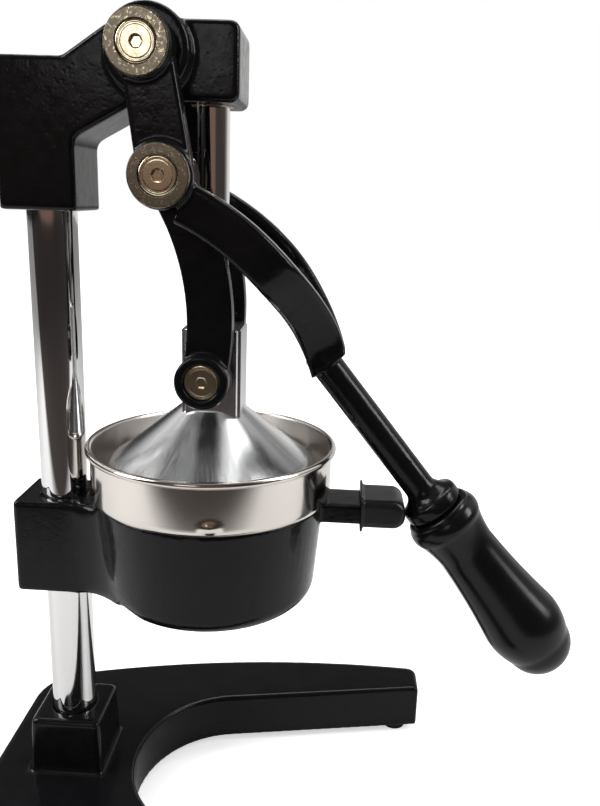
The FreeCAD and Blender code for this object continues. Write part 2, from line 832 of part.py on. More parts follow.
def make_bowl():
    body = new_body("Bowl")
    spout_x = "(bowl_spout_radius - bowl_sheet)"
    profile = outline(body, "BowlProfile", "XZ_Plane", [
        ("bowl_wall_radius", "bowl_brim"),
        ("bowl_wall_radius", "holder_top + bowl_bend"),
        ("bowl_wall_radius - bowl_bend", "holder_top", "bowl_bend", 1),
        ("bowl_neck_radius", "holder_top"),
        ("bowl_neck_radius - bowl_neck_taper", "neck_foot"),
        ("bowl_spout_radius", "neck_foot - bowl_funnel_drop"),
        ("bowl_spout_radius", "neck_foot - bowl_funnel_drop - bowl_spout_drop"),
        (spout_x, "neck_foot - bowl_funnel_drop - bowl_spout_drop"),
        (spout_x, "neck_foot - bowl_funnel_drop + bowl_sheet"),
        ("bowl_neck_radius - bowl_neck_taper - bowl_sheet", "neck_foot + bowl_sheet"),
        ("bowl_neck_radius - bowl_sheet", "bowl_floor"),
        ("bowl_wall_radius - bowl_bend", "bowl_floor"),
        ("bowl_wall_radius - bowl_sheet", "holder_top + bowl_bend",
         "bowl_bend - bowl_sheet", -1),
        ("bowl_wall_radius - bowl_sheet", "bowl_brim"),
    ])
    turn(body, "BowlShell", profile)
    bead = circles(body, "BeadProfile", "XZ_Plane",
                   [("bowl_wall_radius + bowl_bead_radius - bowl_sheet", "bowl_brim",
                     "bowl_bead_radius")])
    turn(body, "RolledBead", bead)
    return body


def make_dimples():
    """Balls that the bowl's wall is pressed over, cut back to the wall's inner face."""
    caps = []
    for index in range(int(SIZES["bowl_dimple_count"])):
        ball = doc.addObject("Part::Sphere", "DimpleBall%d" % index)
        reach = "bowl_wall_radius + bowl_dimple_height - bowl_dimple_radius"
        turned = "%d * 360 / bowl_dimple_count - 82" % index
        bind(ball, Radius="bowl_dimple_radius",
             Placement__Base__x="(" + reach + ") * cos(" + turned + ")",
             Placement__Base__y="(" + reach + ") * sin(" + turned + ")",
             Placement__Base__z="holder_top + bowl_dimple_rise")
        caps.append(ball)
    core = rod("DimpleCore", "bowl_wall_radius - bowl_sheet / 2",
               "bowl_wall_height", z="holder_top")
    return cut("Dimples", group("DimpleBalls", caps), core)


def make_reamer():
    body = new_body("Reamer")
    seat = "bowl_floor"
    rise = "reamer_height"
    sheet = "reamer_sheet"
    shoulder = seat + " + " + rise + " - reamer_tip_depth"
    profile = outline(body, "ReamerProfile", "XZ_Plane", [
        ("reamer_flange_radius", seat),
        ("reamer_flange_radius", seat + " + " + sheet),
        ("reamer_base_radius", seat + " + " + sheet),
        ("reamer_tip_radius", shoulder),
        ("reamer_tip_flat", seat + " + " + rise),
        ("0", seat + " + " + rise),
        ("0", shoulder),
        ("reamer_tip_flat", shoulder),
        ("reamer_base_radius - 1.6 * " + sheet, seat),
    ])
    turn(body, "ReamerCone", profile)
    # one upright rib on the cone's flank, repeated round the axis
    rib = outline(body, "RibOutline", "XZ_Plane", [
        ("reamer_base_radius - reamer_rib_root", seat + " + " + sheet),
        ("reamer_base_radius + reamer_rib_height", seat + " + " + sheet),
        ("reamer_tip_radius + reamer_rib_height / 2", shoulder),
        ("reamer_tip_radius - reamer_rib_height", shoulder),
    ])
    blade = pad(body, "Rib", rib, "reamer_rib_width", middle=True)
    ribs = body.newObject("PartDesign::PolarPattern", "Ribs")
    ribs.Originals = [blade]
    ribs.Axis = ([part for part in body.Origin.OriginFeatures
                  if part.Role == "Z_Axis"][0], [""])
    ribs.Angle = 360
    bind(ribs, Occurrences="reamer_rib_count")
    body.Tip = ribs
    doc.recompute()
    first = "(reamer_base_radius - 7)"
    half_step = "180 / reamer_hole_count"
    rings = []
    for row in range(int(SIZES["reamer_hole_rows"])):
        radius = "(" + first + " - %d * reamer_hole_pitch)" % row
        rings.append((radius + " * cos(" + half_step + ")",
                      radius + " * sin(" + half_step + ")", "reamer_hole_diameter / 2"))
    holes = circles(body, "HoleRings", "XY_Plane", rings, seat + " - 1")
    drill = pocket(body, "Holes", holes, rise + " + 3", up=True)
    pattern = body.newObject("PartDesign::PolarPattern", "HoleRows")
    pattern.Originals = [drill]
    pattern.Axis = ([part for part in body.Origin.OriginFeatures
                     if part.Role == "Z_Axis"][0], [""])
    pattern.Angle = 360
    bind(pattern, Occurrences="reamer_hole_count")
    body.Tip = pattern
    doc.recompute()
    return node(body, "reamer_cone")


# Press cone and plunger rod

def make_press():
    body = new_body("Press")
    lip = "press_lip_height"
    profile = outline(body, "PressProfile", "XZ_Plane", [
        ("0", lip + " + press_neck_rise"),
        ("press_neck_radius", lip + " + press_neck_rise"),
        ("press_shoulder_radius", lip + " + press_shoulder_rise"),
        ("press_lip_radius", lip + " + press_lip_depth", "press_shoulder_curve", -1),
        ("press_lip_radius", lip),
        ("press_lip_radius - press_wall", lip),
        ("press_lip_radius - press_wall", lip + " + press_lip_depth - 2"),
        ("press_shoulder_radius - press_wall",
         lip + " + press_shoulder_rise - press_wall"),
        ("press_neck_radius - press_wall", lip + " + press_neck_rise - 1.4 * press_wall"),
        ("0", lip + " + press_neck_rise - 1.4 * press_wall"),
    ])
    turn(body, "PressShell", profile)
    along = "(block_length / 2)"
    across = "(block_width / 2)"
    square = outline(body, "BlockOutline", "XY_Plane",
                     round_cornered("-" + along, along, "-" + across, across, "block_round"),
                     lip + " + press_neck_rise - block_root")
    pad(body, "Block", square, "block_top - " + lip + " - press_neck_rise + block_root")
    socket = circles(body, "RodSocketRing", "XY_Plane",
                     [("0", "0", "rod_diameter / 2 + seat_fit")],
                     "block_top - rod_socket_depth")
    pocket(body, "RodSocket", socket, "rod_socket_depth + 1", up=True)
    return node(body, "press_cone")


# Head casting and its bush

def make_head():
    body = new_body("Head")
    back = "(column_offset + head_leg_half)"
    front = "(column_offset - head_leg_half)"
    side = outline(body, "HeadOutline", "XZ_Plane", [
        ("-" + back, "head_leg_foot"), ("-" + front, "head_leg_foot"),
        ("-" + front, "head_crook"), ("-head_nose_foot_rear_x", "head_nose_foot"),
        ("head_nose_reach", "head_nose_foot"), ("head_nose_reach", "head_nose_top"),
        ("-head_nose_rear_x", "head_nose_top"), ("-head_slope_top_x", "head_slope_top"),
        ("-head_slope_foot_x", "head_leg_top"), ("-" + back, "head_leg_top"),
    ])
    block = pad(body, "HeadBlock", side, "head_width", middle=True)
    nose = round_edges(body, "NoseCorners", block, "head_nose_round",
                       lambda p: abs(p.y) < value("head_width") / 2 - 0.5
                       and (near(p.x, "head_nose_reach") or near(p.x, "-" + back)
                            and near(p.z, "head_leg_top")))
    crook = round_edges(body, "Crook", nose, "head_crook_round",
                        lambda p: near(p.x, "-" + front) and near(p.z, "head_crook"))
    round_edges(body, "HeadEdges", crook, "head_edge_round",
                lambda p: near(abs(p.y), "head_width / 2"))
    hub = circles(body, "HubRing", "XZ_Plane",
                  [("-top_pivot_x", "top_pivot_height", "hub_radius")])
    doc.recompute()
    hubs = pad(body, "Hubs", hub, "head_width + 2 * hub_standout", middle=True)
    round_edges(body, "HubEdges", hubs, "head_edge_round",
                lambda p: near(abs(p.y), "hub_face"))
    socket = circles(body, "ColumnCapRing", "XY_Plane",
                     [("-column_offset", "0", "column_diameter / 2 + seat_fit")],
                     "head_leg_foot")
    pocket(body, "ColumnCap", socket, "column_foot + column_length - head_leg_foot", up=True)
    guide = circles(body, "GuideRing", "XY_Plane",
                    [("0", "0", "rod_diameter / 2 + running_fit + bush_wall + seat_fit")],
                    "head_nose_foot")
    pocket(body, "GuideBore", guide)
    pin = circles(body, "PivotRing", "XZ_Plane",
                  [("-top_pivot_x", "top_pivot_height", "pivot_bolt_diameter / 2 + seat_fit")])
    pocket(body, "PivotBore", pin)
    rear = circles(body, "CapScrewRings", "YZ_Plane",
                   [("0", height, "set_screw_diameter / 2 + seat_fit")
                    for height in cap_screw_heights()], "-" + back)
    pocket(body, "CapScrewHoles", rear, "head_leg_half", up=True)
    return node(body, "head_casting")


def cap_screw_heights():
    return ["head_leg_foot + 14", "head_leg_foot + 42"]


def make_bush_and_rod():
    sleeve = rod("BushBlank", "rod_diameter / 2 + running_fit + bush_wall",
                 "head_nose_top - head_nose_foot", z="head_nose_foot")
    bore = rod("BushBore", "rod_diameter / 2 + running_fit",
               "head_nose_top - head_nose_foot", z="head_nose_foot")
    node(cut("GuideBush", sleeve, bore), "guide_bush")
    bar = rod("RodBar", "rod_diameter / 2", "rod_length", z="block_top - rod_socket_depth")
    shape = doc.addObject("Part::Chamfer", "PlungerRod")
    shape.Base = bar
    shape.Edges = [(1, 1.0, 1.0), (3, 1.0, 1.0)]
    node(shape, "plunger_rod")


# Pivot hardware

def washer(name, x, z, sign):
    """A thick washer, sunk in its face for the screw's head."""
    along = "Y" if sign > 0 else "-Y"
    face = "%d * washer_seat" % sign
    sunk = "%d * (washer_face - pivot_head_height)" % sign
    blank = rod(name + "Blank", "washer_radius", "washer_thickness", x, face, z, along)
    bore = rod(name + "Bore", "pivot_bolt_diameter / 2 + seat_fit", "washer_thickness",
               x, face, z, along)
    sink = rod(name + "Sink", "pivot_head_diameter / 2 + seat_fit", "pivot_head_height",
               x, sunk, z, along)
    ring = cut(name + "Ring", blank, join(name + "Hole", [bore, sink]))
    eased = doc.addObject("Part::Chamfer", name)
    eased.Base = ring
    doc.recompute()
    rims = [number for number, edge in enumerate(ring.Shape.Edges, start=1)
            if near(edge.Curve.Radius if hasattr(edge.Curve, "Radius") else 0, "washer_radius")
            and near(sign * edge.BoundBox.YMax if sign > 0 else -edge.BoundBox.YMin,
                     "washer_face")]
    eased.Edges = [(number, 0.5, 0.5) for number in rims]
    return eased


def pivot_bolt(name, x, z, sign, shank_end, head_face="washer_face",
               head_height="pivot_head_height"):
    """A socket screw whose plain shank is the pivot pin."""
    along = "-Y" if sign > 0 else "Y"
    top = "%d * (%s)" % (sign, head_face)
    crown = rod(name + "Head", "pivot_head_diameter / 2", head_height, x, top, z, along)
    shank = rod(name + "Shank", "pivot_bolt_diameter / 2",
                "(" + head_face + ") - (" + shank_end + ")", x, top, z, along)
    socket = doc.addObject("Part::Prism", name + "Socket")
    socket.Polygon = 6
    socket.Placement = Placement(Vector(), Rotation(Vector(1, 0, 0), 90 * sign))
    bind(socket, Circumradius="pivot_socket_width / 2 / cos(30)",
         Height="pivot_socket_depth", Placement__Base__x=x, Placement__Base__y=top,
         Placement__Base__z=z)
    return cut(name, join(name + "Blank", [crown, shank]), socket)


def make_pivots():
    places = {"Top": ("-top_pivot_x", "top_pivot_height"),
              "Elbow": ("elbow_x", "elbow_height")}
    shanks = {"Top": "3", "Elbow": "link_inner + side_gap"}
    for title, (x, z) in places.items():
        node(group(title + "Washers", [washer(title + "Washer" + side, x, z, sign)
                                       for side, sign in SIDES.items()]),
             title.lower() + "_pivot_washers")
        node(group(title + "Bolts", [pivot_bolt(title + "Bolt" + side, x, z, sign,
                                                shanks[title])
                                     for side, sign in SIDES.items()]),
             title.lower() + "_pivot_bolts")
    node(group("WristBolts", [pivot_bolt("WristBolt" + side, "0", "wrist_height", sign,
                                         "boss_inner", "link_boss_outer - low_bolt_recess")
                              for side, sign in SIDES.items()]), "wrist_pivot_bolts")


# Lever: two cranked fork arms that close on one bar

def fork_section(share, sign):
    """The arm's rounded section at a share of its way from elbow to bar."""
    radius = value("fork_radius")
    angle = math.radians(value("fork_start_angle") + value("fork_turn") * share)
    end = math.radians(value("fork_end_angle"))
    root = Vector(value("fork_root_x"), 0, value("fork_root_height"))
    spot = root + Vector(radius * (math.sin(angle) - math.sin(end)), 0,
                         radius * (math.cos(angle) - math.cos(end)))
    ease = (share - value("fork_parallel_share")) / value("fork_closing_share")
    ease = min(max(ease, 0), 1)
    ease = ease * ease * (3 - 2 * ease)
    outer = value("fork_inner + fork_thickness / 2")
    spot.y = sign * (outer + (value("fork_end_offset") - outer) * ease)
    depth = value("fork_depth") + (value("fork_end_depth") - value("fork_depth")) * ease
    width = value("fork_thickness") + (value("fork_end_thickness")
                                       - value("fork_thickness")) * ease
    corner = value("fork_corner")
    flat = rounded_rectangle(depth, width, corner)
    # the last sections turn until the arm's end is square to the bar
    squared = max((share - 1) / value("fork_square_share") + 1, 0)
    facing = angle + (math.radians(value("bar_angle")) - angle) * squared
    across = Vector(math.sin(facing), 0, math.cos(facing))
    flat.Placement = Placement(spot, Rotation(across, Vector(0, 1, 0), Vector(), "XYZ"))
    return flat


def rounded_rectangle(depth, width, corner):
    """A wire of four lines and four quarter arcs about the origin."""
    edges = []
    for turn_number in range(4):
        half_x, half_y = ((depth, width) if turn_number % 2 == 0 else (width, depth))
        half_x, half_y = half_x / 2, half_y / 2
        spin = Rotation(Vector(0, 0, 1), 90 * turn_number)
        first = Vector(half_x, -half_y + corner, 0)
        second = Vector(half_x, half_y - corner, 0)
        third = Vector(half_x - corner, half_y, 0)
        bend = Vector(half_x - corner * (1 - math.sqrt(0.5)),
                      half_y - corner * (1 - math.sqrt(0.5)), 0)
        edges.append(Part.LineSegment(spin.multVec(first), spin.multVec(second)).toShape())
        edges.append(Part.Arc(spin.multVec(second), spin.multVec(bend),
                              spin.multVec(third)).toShape())
    return Part.Wire(edges)


def fork_arm(name, sign):
    arm = doc.addObject("Part::Feature", name)
    stations = 9
    sections = [fork_section(index / (stations - 1), sign) for index in range(stations)]
    arm.Shape = Part.makeLoft(sections, True, False)
    return arm


def make_crank(side, sign):
    """The straight tapered arm from the top eye down to the elbow."""
    body = new_body("Crank" + side)
    offset = "fork_inner" if sign < 0 else "-(fork_inner + crank_thickness)"
    sketch = outline(body, "CrankOutline" + side, "XZ_Plane", [
        ("-top_pivot_x - crank_rear_top", "top_pivot_height"),
        ("elbow_x - crank_rear_foot", "elbow_height"),
        ("elbow_x + crank_front_foot", "elbow_height"),
        ("-top_pivot_x + crank_front_top", "top_pivot_height"),
    ], offset)
    web = pad(body, "CrankWeb" + side, sketch, "crank_thickness")
    round_edges(body, "CrankEdges" + side, web, "crank_edge_round",
                lambda p: near(abs(p.y), "fork_inner + crank_thickness")
                and value("elbow_height") + 2 < p.z < value("top_pivot_height") - 2)
    return body


def make_bar():
    """The round bar, its collar and the spigot inside the grip, turned in one."""
    body = new_body("Bar")
    long_axis = outline(body, "BarProfile", "XZ_Plane", [
        ("-bar_sink", "0"),
        ("-bar_sink", "bar_radius"),
        ("bar_length - bar_flare_length", "bar_radius"),
        ("bar_length - bar_flare_lip", "bar_radius + bar_flare_rise", "bar_flare_curve", -1),
        ("bar_length", "collar_radius - collar_round", "bar_flare_turn", 1),
        ("bar_length + collar_round", "collar_radius", "collar_round", 1),
        ("bar_length + collar_thickness - collar_round", "collar_radius"),
        ("bar_length + collar_thickness", "collar_radius - collar_round",
         "collar_round", 1),
        ("bar_length + collar_thickness", "spigot_radius"),
        ("bar_length + collar_thickness + spigot_length", "spigot_radius"),
        ("bar_length + collar_thickness + spigot_length", "0"),
    ])
    tilt(long_axis)
    turn(body, "BarTurned", long_axis, axis="H_Axis")
    return body


def tilt(sketch):
    """Lay a sketch along the lever's bar, its X axis towards the grip."""
    angle = value("bar_angle")
    sketch.AttachmentOffset = Placement(Vector(), Rotation(Vector(0, 0, 1), -angle))
    bind(sketch, AttachmentOffset__Base__x="bar_root_x",
         AttachmentOffset__Base__y="bar_root_height",
         AttachmentOffset__Rotation__Angle="-bar_angle")
    doc.recompute()


def make_lever():
    parts = []
    holes = []
    for side, sign in SIDES.items():
        along = "Y" if sign > 0 else "-Y"
        inner = "%d * fork_inner" % sign
        parts.append(rod("Eye" + side, "eye_radius", "eye_thickness",
                         "-top_pivot_x", inner, "top_pivot_height", along))
        parts.append(rod("Elbow" + side, "elbow_radius", "eye_thickness",
                         "elbow_x", inner, "elbow_height", along))
        parts.append(make_crank(side, sign))
        parts.append(fork_arm("ForkArm" + side, sign))
        for title, x, z in (("Eye", "-top_pivot_x", "top_pivot_height"),
                            ("Elbow", "elbow_x", "elbow_height")):
            holes.append(rod(title + "Bore" + side, "pivot_bolt_diameter / 2 + running_fit",
                             "eye_thickness + 2", x, "%d * (fork_inner - 1)" % sign, z, along))
    parts.append(make_bar())
    blank = join("LeverBlank", parts)
    node(cut("Lever", blank, join("LeverBores", holes)), "lever_fork")


def make_grip():
    body = new_body("Grip")
    start = "bar_length + collar_thickness"
    profile = outline(body, "GripProfile", "XZ_Plane", [
        (start, "spigot_radius + seat_fit"),
        (start, "grip_lip_radius - grip_lip_round"),
        (start + " + grip_lip_round", "grip_lip_radius", "grip_lip_round", 1),
        (start + " + grip_flare_at", "grip_flare_radius", "grip_flare_curve", 1),
        (start + " + grip_flare_at + grip_flare_width", "grip_flare_radius - grip_flare_fall",
         "grip_flare_curve", 1),
        (start + " + grip_neck_at", "grip_neck_radius", "grip_waist_curve", -1),
        (start + " + grip_belly_at", "grip_belly_radius", "grip_belly_curve", -1),
        (start + " + grip_cheek_at", "grip_cheek_radius", "grip_cheek_curve", 1),
        (start + " + grip_length - grip_cap_depth", "grip_cap_radius", "grip_cap_curve", 1),
        (start + " + grip_length", "grip_end_flat", "grip_cap_curve", 1),
        (start + " + grip_length", "0"),
        (start + " + spigot_length", "0"),
        (start + " + spigot_length", "spigot_radius + seat_fit"),
    ])
    tilt(profile)
    turn(body, "GripTurned", profile, axis="H_Axis")
    return node(body, "lever_grip")


# Connecting rods, bowed forward to pass the hubs

def link_spot(along, across):
    """A point by its distance from the elbow towards the wrist, and forward."""
    return ("elbow_x - (" + along + ") * sin(link_angle) + (" + across + ") * cos(link_angle)",
            "elbow_height - (" + along + ") * cos(link_angle) - (" + across
            + ") * sin(link_angle)")


def make_link(side, sign):
    body = new_body("Link" + side)
    web_offset = "link_inner" if sign < 0 else "-link_outer"
    # the bow: both long edges are arcs about one centre
    bow = "((link_length^2 / 4 + link_bow^2) / (2 * link_bow))"
    half = "link_width / 2"
    # the arcs' ends lie on the radii through the two pivots
    lean = "(asin(link_length / 2 / " + bow + "))"
    out_along = half + " * sin(" + lean + ")"
    out_across = half + " * cos(" + lean + ")"
    outer_start = link_spot("-(" + out_along + ")", out_across)
    outer_end = link_spot("link_length + " + out_along, out_across)
    inner_end = link_spot("link_length - " + out_along, "-(" + out_across + ")")
    inner_start = link_spot(out_along, "-(" + out_across + ")")
    web = outline(body, "LinkOutline" + side, "XZ_Plane", [
        outer_start,
        outer_end + (bow + " + " + half, 1),
        inner_end,
        inner_start + (bow + " - " + half, -1),
    ], web_offset)
    pad(body, "LinkBlade" + side, web, "link_thickness")
    eye = circles(body, "LinkEyeRing" + side, "XZ_Plane",
                  [("elbow_x", "elbow_height", "link_eye_radius")], web_offset)
    pad(body, "LinkEye" + side, eye, "link_thickness")
    boss_offset = "link_inner" if sign < 0 else "-link_boss_outer"
    boss = circles(body, "LinkBossRing" + side, "XZ_Plane",
                   [("0", "wrist_height", "link_boss_radius")], boss_offset)
    pad(body, "LinkBoss" + side, boss, "link_boss_outer - link_inner")
    neck_offset = "boss_inner" if sign < 0 else "-(link_inner + 1)"
    neck = circles(body, "LinkNeckRing" + side, "XZ_Plane",
                   [("0", "wrist_height", "link_neck_radius")], neck_offset)
    necked = pad(body, "LinkNeck" + side, neck, "link_inner - boss_inner + 1")
    round_edges(body, "LinkEdges" + side, necked, "link_edge_round",
                lambda p: near(abs(p.y), "link_boss_outer"))
    bolt = "pivot_bolt_diameter / 2 + seat_fit"
    drill = circles(body, "LinkBoltRings" + side, "XZ_Plane",
                    [("elbow_x", "elbow_height", bolt), ("0", "wrist_height", bolt)])
    pocket(body, "LinkBores" + side, drill)
    recess_offset = ("link_boss_outer - low_bolt_recess - pivot_head_height" if sign < 0
                     else "-link_boss_outer")
    recess = circles(body, "LinkRecessRing" + side, "XZ_Plane",
                     [("0", "wrist_height", "pivot_head_diameter / 2 + seat_fit")],
                     recess_offset)
    pocket(body, "LinkRecess" + side, recess, "low_bolt_recess + pivot_head_height", up=True)
    return node(body, "connecting_rod_" + side)


def main():
    make_base()
    make_feet()
    make_column()
    make_holder()
    node(grub("HolderScrew", "holder_foot + arm_height / 2"), "holder_set_screw")
    node(group("HeadScrews", [grub("HeadScrew%d" % number, height) for number, height
                              in enumerate(cap_screw_heights(), start=1)]),
         "head_set_screws")
    make_boot()
    node(join("StrainerBowl", [make_bowl(), make_dimples()]), "strainer_bowl")
    make_reamer()
    make_press()
    make_head()
    make_bush_and_rod()
    make_pivots()
    make_lever()
    make_grip()
    for side, sign in SIDES.items():
        make_link(side, sign)
    doc.recompute()
    centre_and_write()


def centre_and_write():
    """Stand the origin under the middle of the whole press, check and export."""
    failed = [thing.Label for thing in doc.Objects
              if "Invalid" in thing.State or "Error" in thing.State]
    for thing in nodes:
        if thing.Shape.isNull() or not thing.Shape.isValid():
            failed.append(thing.Label + " shape")
    if failed:
        raise RuntimeError("failed: " + ", ".join(failed))
    box = FreeCAD.BoundBox()
    for thing in nodes:
        box.add(thing.Shape.optimalBoundingBox(True, False))
    middle = Vector(-box.Center.x, -box.Center.y, -box.ZMin)
    os.makedirs("parts", exist_ok=True)
    for thing in nodes:
        thing.Placement = Placement(middle, Rotation()).multiply(thing.Placement)
        thing.Shape.exportStep(os.path.join("parts", thing.Label + ".step"))
        print("%-24s %d solids %10.1f mm3" % (thing.Label, len(thing.Shape.Solids),
                                              thing.Shape.Volume))
    print("origin moved by", middle, "size", box.XLength, box.YLength, box.ZLength)


main()
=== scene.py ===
import math

import bmesh
import bpy
from mathutils import Matrix, Vector, noise


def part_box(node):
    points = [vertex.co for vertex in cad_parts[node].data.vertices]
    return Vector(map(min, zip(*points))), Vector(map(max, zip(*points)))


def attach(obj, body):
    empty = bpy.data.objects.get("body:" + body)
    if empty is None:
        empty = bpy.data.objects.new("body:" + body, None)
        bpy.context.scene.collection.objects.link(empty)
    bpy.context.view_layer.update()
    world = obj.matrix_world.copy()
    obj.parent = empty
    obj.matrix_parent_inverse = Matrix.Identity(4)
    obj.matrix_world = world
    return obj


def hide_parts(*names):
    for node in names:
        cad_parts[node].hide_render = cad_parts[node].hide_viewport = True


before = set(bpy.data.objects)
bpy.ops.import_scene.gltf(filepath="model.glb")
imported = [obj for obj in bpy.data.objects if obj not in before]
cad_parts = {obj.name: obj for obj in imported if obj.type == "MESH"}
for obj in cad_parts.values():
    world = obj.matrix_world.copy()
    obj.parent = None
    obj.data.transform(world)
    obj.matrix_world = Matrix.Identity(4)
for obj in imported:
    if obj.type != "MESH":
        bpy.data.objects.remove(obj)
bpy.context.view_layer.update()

bl_info = {
    "name": "Lever citrus press",
    "version": (1, 0, 0),
    "blender": (4, 5, 0),
    "location": "View3D > Sidebar > Citrus press",
    "description": "Dresses the packed press: enamelled castings, turned metal and its studio",
    "category": "Object",
}

MM = 0.001

# the plunger's axis, the column and the cup holder give the places in the press
PLUNGER = (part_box("plunger_rod")[0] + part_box("plunger_rod")[1]) / 2
COLUMN = (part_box("column")[0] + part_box("column")[1]) / 2
HOLDER_FOOT, HOLDER_TOP = (corner.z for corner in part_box("cup_holder"))

# the inner corners where the holder's arm meets the cup, filled to a soft blend
CREASE_ROUNDS = 140
CREASE_FLOOR_RADIUS = 44 * MM
CREASE_WALL_RADIUS = 52.6 * MM
CREASE_REAR = 66 * MM
CREASE_FRONT = 26 * MM
CREASE_SIDE = 15 * MM

# the sheet bowl under its wall
BOWL_NECK_RADIUS = 50.8 * MM
BOWL_NECK_FOOT_RADIUS = 46.2 * MM
BOWL_NECK_DEPTH = 31 * MM
BOWL_FUNNEL_DROP = 9 * MM
BOWL_SPOUT_RADIUS = 11 * MM
BOWL_SPOUT_DROP = 16 * MM
FIRST_DIMPLE_DEGREES = -82

# the upright block on the press cone, measured from the plunger's axis
BLOCK_FRONT = 15.3 * MM
BLOCK_REAR = 12.7 * MM
BLOCK_WIDTH = 28 * MM
BLOCK_RISE = 30.8 * MM

# the grip starts this far along the bar from its root, which slopes down
BAR_ROOT_FORWARD = 57.5 * MM
BAR_ROOT_HEIGHT = 258.5 * MM
BAR_SLOPE_DEGREES = 51
GRIP_START = 90.1 * MM

# from the middle plane to each pivot screw's inner end
SCREW_ENDS = {
    "top_pivot_bolts": 3.0 * MM,
    "elbow_pivot_bolts": 19.9 * MM,
    "wrist_pivot_bolts": 14.3 * MM,
}


class CastingSettings(bpy.types.PropertyGroup):
    enamel: bpy.props.FloatVectorProperty(
        name="Enamel", description="Colour of the black enamel on the castings",
        subtype="COLOR", default=(0.005, 0.0048, 0.0055))
    skin: bpy.props.FloatProperty(
        name="Skin mesh", description="Size of one face of a casting's skin",
        unit="LENGTH", default=1.0 * MM)
    relief: bpy.props.FloatProperty(
        name="Relief", description="How far the rough casting waves under its enamel",
        unit="LENGTH", default=0.03 * MM)
    lump: bpy.props.FloatProperty(
        name="Lump size", description="Distance between two waves of the rough casting",
        unit="LENGTH", default=5.0 * MM)
    pit: bpy.props.FloatProperty(
        name="Pit size", description="Distance between two pits in the enamel",
        unit="LENGTH", default=1.3 * MM)


class MetalSettings(bpy.types.PropertyGroup):
    chrome: bpy.props.FloatVectorProperty(
        name="Chrome", description="Colour of the plated column and plunger rod",
        subtype="COLOR", default=(0.76, 0.755, 0.75))
    nickel: bpy.props.FloatVectorProperty(
        name="Nickel", description="Colour of the pivot screws",
        subtype="COLOR", default=(0.78, 0.70, 0.50))
    washer: bpy.props.FloatVectorProperty(
        name="Worn nickel", description="Colour of the pivot washers",
        subtype="COLOR", default=(0.21, 0.185, 0.135))
    steel: bpy.props.FloatVectorProperty(
        name="Stainless steel", description="Colour of the bowl and the reamer",
        subtype="COLOR", default=(0.70, 0.655, 0.615))
    aluminium: bpy.props.FloatVectorProperty(
        name="Aluminium", description="Colour of the polished press cone",
        subtype="COLOR", default=(0.74, 0.745, 0.75))
    segments: bpy.props.IntProperty(
        name="Segments", description="Flats round a turned piece", default=160)


class BowlSettings(bpy.types.PropertyGroup):
    wall_radius: bpy.props.FloatProperty(
        name="Wall radius", description="Outside of the bowl's upright wall",
        unit="LENGTH", default=60.0 * MM)
    wall_height: bpy.props.FloatProperty(
        name="Wall height", description="From the holder's top to the rolled rim",
        unit="LENGTH", default=25.1 * MM)
    bead_radius: bpy.props.FloatProperty(
        name="Bead radius", description="Half the thickness of the rolled rim",
        unit="LENGTH", default=1.7 * MM)
    bend: bpy.props.FloatProperty(
        name="Bend", description="Radius between wall and shelf",
        unit="LENGTH", default=3.2 * MM)
    sheet: bpy.props.FloatProperty(
        name="Sheet", description="Thickness of the bowl's sheet",
        unit="LENGTH", default=1.2 * MM)
    dimple_height: bpy.props.FloatProperty(
        name="Dimple height", description="How far a dimple stands out of the wall",
        unit="LENGTH", default=1.2 * MM)
    dimple_width: bpy.props.FloatProperty(
        name="Dimple width", description="Half the width of a dimple",
        unit="LENGTH", default=5.8 * MM)
    dimple_tall: bpy.props.FloatProperty(
        name="Dimple height on the wall", description="Half the upright size of a dimple",
        unit="LENGTH", default=3.3 * MM)
    dimple_rise: bpy.props.FloatProperty(
        name="Dimple rise", description="From the holder's top to a dimple's middle",
        unit="LENGTH", default=5.3 * MM)
    dimples: bpy.props.IntProperty(
        name="Dimples", description="Dimples round the wall", default=3)


class SoftSettings(bpy.types.PropertyGroup):
    grip: bpy.props.FloatVectorProperty(
        name="Grip", description="Colour of the plastic grip",
        subtype="COLOR", default=(0.004, 0.004, 0.0045))
    rubber: bpy.props.FloatVectorProperty(
        name="Rubber", description="Colour of the boot and the feet",
        subtype="COLOR", default=(0.009, 0.009, 0.0095))


class StageSettings(bpy.types.PropertyGroup):
    floor: bpy.props.FloatVectorProperty(
        name="Floor", description="Colour of the table",
        subtype="COLOR", default=(0.76, 0.76, 0.76))
    glow: bpy.props.FloatProperty(
        name="Table glow", description="Light of the table itself, seen by the camera only",
        default=0.6)
    lens: bpy.props.FloatProperty(
        name="Lens", description="Focal length for a 36 mm wide picture", default=46.95)


# the room's light by direction: 0 degrees towards the camera, 90 to the grip's side
DARK_WALL = (0.015, 0.013, 0.012)
BROWN_WALL = (0.20, 0.125, 0.105)
SHADED_WALL = (0.055, 0.045, 0.042)
PALE_WALL = (0.86, 0.85, 0.84)
ROOM_WALLS = ((-180, PALE_WALL), (-168, DARK_WALL), (-50, DARK_WALL), (-28, BROWN_WALL),
              (16, BROWN_WALL), (30, SHADED_WALL), (92, SHADED_WALL), (112, (0.3, 0.29, 0.28)),
              (130, PALE_WALL), (180, PALE_WALL))
ROOM_UPPER = ((-180, (0.16, 0.16, 0.16)), (-150, (0.2, 0.2, 0.2)), (-130, PALE_WALL),
              (-75, PALE_WALL), (-50, SHADED_WALL), (50, SHADED_WALL), (75, PALE_WALL),
              (130, PALE_WALL), (150, (0.2, 0.2, 0.2)), (180, (0.16, 0.16, 0.16)))
ROOM_CEILING = (0.34, 0.34, 0.34)

SETTINGS = {
    "press_castings": CastingSettings,
    "press_metals": MetalSettings,
    "press_bowl": BowlSettings,
    "press_soft": SoftSettings,
    "press_stage": StageSettings,
}


# Shapes

def new_piece(name, mesh):
    piece = bpy.data.objects.new(name, mesh)
    bpy.context.scene.collection.objects.link(piece)
    return piece


